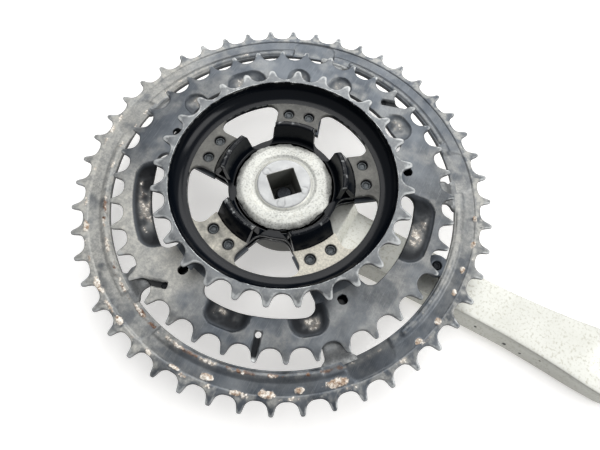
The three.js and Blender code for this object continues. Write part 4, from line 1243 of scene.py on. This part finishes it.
def arm_back(x):
    """Height of the arm's outboard side: level at the boss and the eye, slightly hollow between."""
    return ARM_BACK + 1.6 * smooth(30, 70, x) * smooth(150, 115, x)


def hub(segments=192):
    """The boss's core on one grid: socket, face, groove, crimped rim and neck, and the outboard recess.

    The socket's walls are a square in polar form, whose half side narrows towards the bolt's seat.
    """
    angle = np.linspace(0, 2 * math.pi, segments, endpoint=False)[:, None]
    off = (np.degrees(angle) - SQUARE["turn"]) % 90.0 - 45.0
    square = np.minimum(1 / np.cos(np.radians(off)), 1.385)
    recess, seat, face = RECESS["radius"], SQUARE["seat"] / 2, SQUARE["face"] / 2
    floor = RECESS["floor"]
    rows = [(recess + 0.25, ARM_BACK, 0, 0, 0), (recess, ARM_BACK + 0.25, 0, 0, 0), (recess, floor, 0, 0, 0),
            (4.4, floor, 0, 0, 0), (4.4, SQUARE["floor"], 0, 0, 0), (seat, SQUARE["floor"], 1, 0, 0),
            (seat, SQUARE["floor"] + 0.1, 1, 0, 0), (face - 0.1, 8.6, 1, 0, 0), (face, 9.2, 1, 0, 0),
            (face + 0.25, 9.5, 1, 0, 1)]
    rows += [(r, 9.5, 0, 0, 1) for r in (9.6, 10.0, 10.4, 10.8, 11.2, 11.6)]
    rows += [(12.1, 9.48, 0, 0, 1), (12.5, 9.36, 0, 0, 1), (12.9, 9.10, 0, 0, 0), (13.3, 8.78, 0, 0, 0),
             (13.7, 8.62, 0, 0, 0), (14.1, 8.64, 0, 0.05, 0), (14.5, 8.82, 0, 0.1, 0),
             (15.0, 9.10, 0, 0.1, 0)]
    crown = (15.4, 16.0, 16.6, 17.2, 17.8, 18.4, 19.0, 19.6)
    rows += [(r, 9.26 - 0.02 * (r - 15.4) ** 1.6, 0, 0.18, 0) for r in crown]
    rows += [(20.1, 8.95, 0, 0.35, 0), (20.6, 8.72, 0, 0.5, 0), (21.1, 8.5, 0, 0.7, 0),
             (21.5, 8.3, 0, 0.9, 0), (21.9, 8.05, 0, 1.0, 0), (22.25, 7.75, 0, 1.0, 0),
             (22.5, 7.4, 0, 1.0, 0), (22.4, 7.05, 0, 0.9, 0), (22.1, 6.75, 0, 0.6, 0),
             (18.0, 6.65, 0, 0, 0), (18.0, 4.0, 0, 0, 0), (20.0, 4.0, 0, 0, 0), (20.0, -2.2, 0, 0, 0),
             (HOLE_IN_BODY, -2.2, 0, 0, 0), (HOLE_IN_BODY, ARM_BACK, 0, 0, 0)]
    radius, height, is_square, rough, machined = (np.array(column, float)[None] for column in zip(*rows))
    crimp = lumps(np.cos(angle) * 22.5 + 40, np.sin(angle) * 22.5 + 40, 3.4, 201) - 0.62
    bitten = smooth(20.2, 22.2, radius) * smooth(0.2, 0.5, rough)
    grown = radius * np.where(is_square > 0, square, 1.0) + 1.8 * np.minimum(crimp, 0.08) * bitten
    x, y = grown * np.cos(angle), grown * np.sin(angle)
    dents = lumps(x + 40, y + 40, 1.5, 211) - 0.5
    z = height + dents * 0.5 * rough + punch_marks(x, y) * machined
    points = placed(x, y, z)
    faces = quads(*points.shape[:2], True, True)
    # Painted shade in the socket and below it, in the groove, in the rim's dents, under the rim and in the
    # punch marks.
    grime = np.where((is_square > 0) & (height < 9.3), 0.80, 0.0) + np.where(radius < 5.0, 1.0, 0.0)
    grime = grime + 0.28 * np.exp(-((radius - 13.6) / 0.6) ** 2) + 0.18 * rough * smooth(0.02, -0.15, dents)
    grime = grime + 0.8 * smooth(7.2, 6.9, height) * (radius > 17.5) - 4.0 * punch_marks(x, y) * machined
    faced = (machined[0] * np.roll(machined[0], -1) > 0).astype(int)
    pitted = smooth(12.8, 14.0, radius) * (0.22 + 0.16 * rough + 0.5 * lumps(x + 40, y + 40, 9.0, 215))
    marks = dict(dust=np.clip(grime + 0 * z, 0, 1).reshape(-1), wear=np.clip(pitted, 0, 1).reshape(-1))
    return dict(points=points.reshape(-1, 3), faces=faces.reshape(-1, 4), finish=np.tile(faced, segments),
                marks=marks)


def punch_marks(x, y):
    """Three shallow ring-shaped marks beside the socket, a tenth of a millimetre deep."""
    depth = 0.0
    for radius, angle in ((10.35, 8.0), (10.35, 172.0), (10.35, -68.0)):
        a = math.radians(angle)
        away = np.hypot(x - radius * math.cos(a), y - radius * math.sin(a))
        depth = depth - 0.1 * np.exp(-((away - 1.8) / 0.25) ** 2)
    return depth


def crank_arm():
    """The casting: its body and the finer grid of its hub, in one piece."""
    piece("arm_casting", [arm_body(), hub()], ["cast", "machined"], ["crank_arm"], sharp=32.0)


# --------------------------------------------------------------------------------------------------
# Rivets, pins, bolt and cap
# --------------------------------------------------------------------------------------------------

def headed_pin(name, node_name, finish, where, shank, top, head, head_height, under, dimple, grime=0.0):
    """A round pin with a rounded head on its outboard end and a shallow dimple in its frame-side end."""
    radius, degrees = where
    low = under - head_height
    corners = [(0.0, low), (head, low), (head, under), (shank, under), (shank, top), (shank * 0.72, top),
               (shank * 0.55, top - dimple), (0.0, top - dimple)]
    profile = rounded(corners, [0.5, 0.15, 0.1, 0.25, 0.2, 0.2], steps=4)
    at = radius * math.cos(math.radians(degrees)), radius * math.sin(math.radians(degrees))
    pin = turned(profile, 40, at, grime=np.full(len(profile), grime))
    piece(name, [pin], [finish], [node_name])


def rivets_and_pins():
    """Every rivet and pin, each over the numbered CAD node that it stands for."""
    count = 0
    for k in range(5):
        for side in (-1, 1):
            count += 1
            where = RIVETS["radius"], FIRST_ARM + k * ARM_STEP + side * RIVETS["offset"]
            headed_pin(f"tab_rivet_{count}_fine", nearest_node("tab_rivet", where), "rivet", where,
                       2.2, 8.3, 3.6, 0.9, -1.3, 0.5)
    for k in range(5):
        where = 70.5, FIRST_LUG + k * ARM_STEP
        headed_pin(f"ring_rivet_{k + 1}_fine", nearest_node("ring_rivet", where), "rivet", where,
                   2.5, 6.2, 4.4, 0.8, 2.4, 0.3)
    # The raise pins and the chain-drop pin are darkened all over: painted shade for the dark holes they sit
    # in.
    for k, where in enumerate(RAISE_PINS):
        headed_pin(f"raise_pin_{k + 1}_fine", nearest_node("raise_pin", where), "plating", where,
                   1.5, 5.9, 2.8, 1.2, 4.9, 0.2, grime=1.0)
    headed_pin("chain_drop_pin_fine", "chain_drop_pin", "plating", PIN_EYE,
               1.6, 0.6, 3.2, 4.6, -1.4, 0.4, grime=0.9)


def nearest_node(stem, where):
    """The numbered CAD node of that stem whose box is centred nearest to a place on the crank axis."""
    radius, degrees = where
    turn = math.radians(degrees)
    target = Vector(placed(radius * math.cos(turn), radius * math.sin(turn), 0.0))

    def away(name):
        low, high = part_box(name)
        return math.hypot((low[0] + high[0]) / 2 - target.x, (low[1] + high[1]) / 2 - target.y)
    return min((name for name in frame["nodes"] if name.startswith(stem)), key=away)


BOLT = dict(seat=-10.6, flange=8.2, flange_height=1.2, head=7.2, end=-17.1, shank=4.0, tip=-2.1,
            key=4.0, key_depth=4.5)


def fixing_bolt():
    """A hollow-headed bolt: its hexagon key recess opens outboard."""
    key, head, end, flange, seat = (BOLT[size] for size in ("key", "head", "end", "flange", "seat"))
    floor = end + BOLT["key_depth"]
    step = seat - BOLT["flange_height"]
    rows = [(0.0, floor, 0), (key - 0.2, floor, 1), (key, floor - 0.1, 1), (key, end + 0.5, 1),
            (key + 0.35, end + 0.05, 1), (5.6, end, 0), (head - 0.8, end, 0), (head - 0.2, end + 0.25, 0),
            (head, end + 0.8, 0), (head, step - 0.3, 0), (head + 0.3, step, 0), (flange - 0.2, step, 0),
            (flange, step + 0.2, 0), (flange, seat - 0.1, 0), (flange - 0.1, seat, 0),
            (BOLT["shank"], seat, 0)]
    thread = np.arange(seat + 0.4, BOLT["tip"], 0.2)
    rows += [(BOLT["shank"] - 0.3 * (1 - abs(2 * ((h / 1.0) % 1.0) - 1)), h, 0) for h in thread]
    rows += [(BOLT["shank"] - 0.4, BOLT["tip"], 0), (BOLT["shank"] - 0.8, BOLT["tip"] + 0.75, 0),
             (0.0, BOLT["tip"] + 0.78, 0)]
    radius, height, hexagonal = (np.array(column, float)[None] for column in zip(*rows))
    angle = np.linspace(0, 2 * math.pi, 96, endpoint=False)[:, None]
    grown = radius * np.where(hexagonal > 0, 1 / np.cos((angle % (math.pi / 3)) - math.pi / 6), 1.0)
    points = placed(grown * np.cos(angle), grown * np.sin(angle), height + 0 * angle)
    faces = quads(*points.shape[:2], True, False).reshape(-1, 4)
    shell = dict(points=points.reshape(-1, 3), faces=faces, marks={})
    piece("bolt_fine", [shell], ["oxide"], ["fixing_bolt"], body="bolt")


def washer():
    """A flat ring with eased corners, between the bolt and its seat."""
    profile = rounded([(6.5, -10.3), (8.6, -10.3), (8.6, -8.8), (4.4, -8.8), (4.4, -10.3), (6.5, -10.3)],
                      [0.25, 0.25, 0.2, 0.2], steps=3)[:-1]
    piece("washer_fine", [turned(profile, 72, closed=True)], ["rivet"], ["bolt_washer"])


CAP = dict(radius=10.6, face=-21.1, depth=4.6, wall=1.4, thick=1.6, slot_half=0.6, slot_reach=5.3)


def dust_cap():
    """A cup with a coin slot across its face."""
    face, back = CAP["face"], CAP["face"] + CAP["thick"]
    rim, inside = CAP["face"] + CAP["depth"], CAP["radius"] - CAP["wall"]
    flat = [(r, face) for r in np.linspace(0.0, 9.6, 40)]
    profile = flat + [(10.0, face + 0.05), (10.4, face + 0.25), (10.6, face + 0.7), (10.6, rim - 0.2),
                      (10.45, rim), (inside + 0.15, rim), (inside, rim - 0.2), (inside, back + 0.4),
                      (inside - 0.4, back), (0.0, back)]
    radius, height = np.array(profile)[:, 0][None], np.array(profile)[:, 1][None]
    angle = np.linspace(0, 2 * math.pi, 180, endpoint=False)[:, None]
    x, y = radius * np.cos(angle), radius * np.sin(angle)
    slot = 0.6 * smooth(CAP["slot_half"] + 0.1, CAP["slot_half"] - 0.1, np.abs(y))
    slot = slot * smooth(CAP["slot_reach"] + 0.1, CAP["slot_reach"] - 0.1, np.abs(x)) * (height < face + 0.01)
    points = placed(x, y, height + slot)
    faces = quads(*points.shape[:2], True, False).reshape(-1, 4)
    shell = dict(points=points.reshape(-1, 3), faces=faces, marks={})
    piece("cap_fine", [shell], ["plastic"], ["dust_cap"], body="cap")


# --------------------------------------------------------------------------------------------------
# Assembly
# --------------------------------------------------------------------------------------------------

outer_ring()
middle_ring()
inner_ring()
spider()
lower_plate()
crank_arm()
rivets_and_pins()
fixing_bolt()
washer()
dust_cap()

for name, cad in frame["nodes"].items():
    slot = next(s["material_slot"] for s in frame["record"]["subparts"] if s["node"] == name)
    finish = next(key for key, value in SLOT.items() if value == slot)
    cad.data.materials.clear()
    cad.data.materials.append(FINISH[finish])
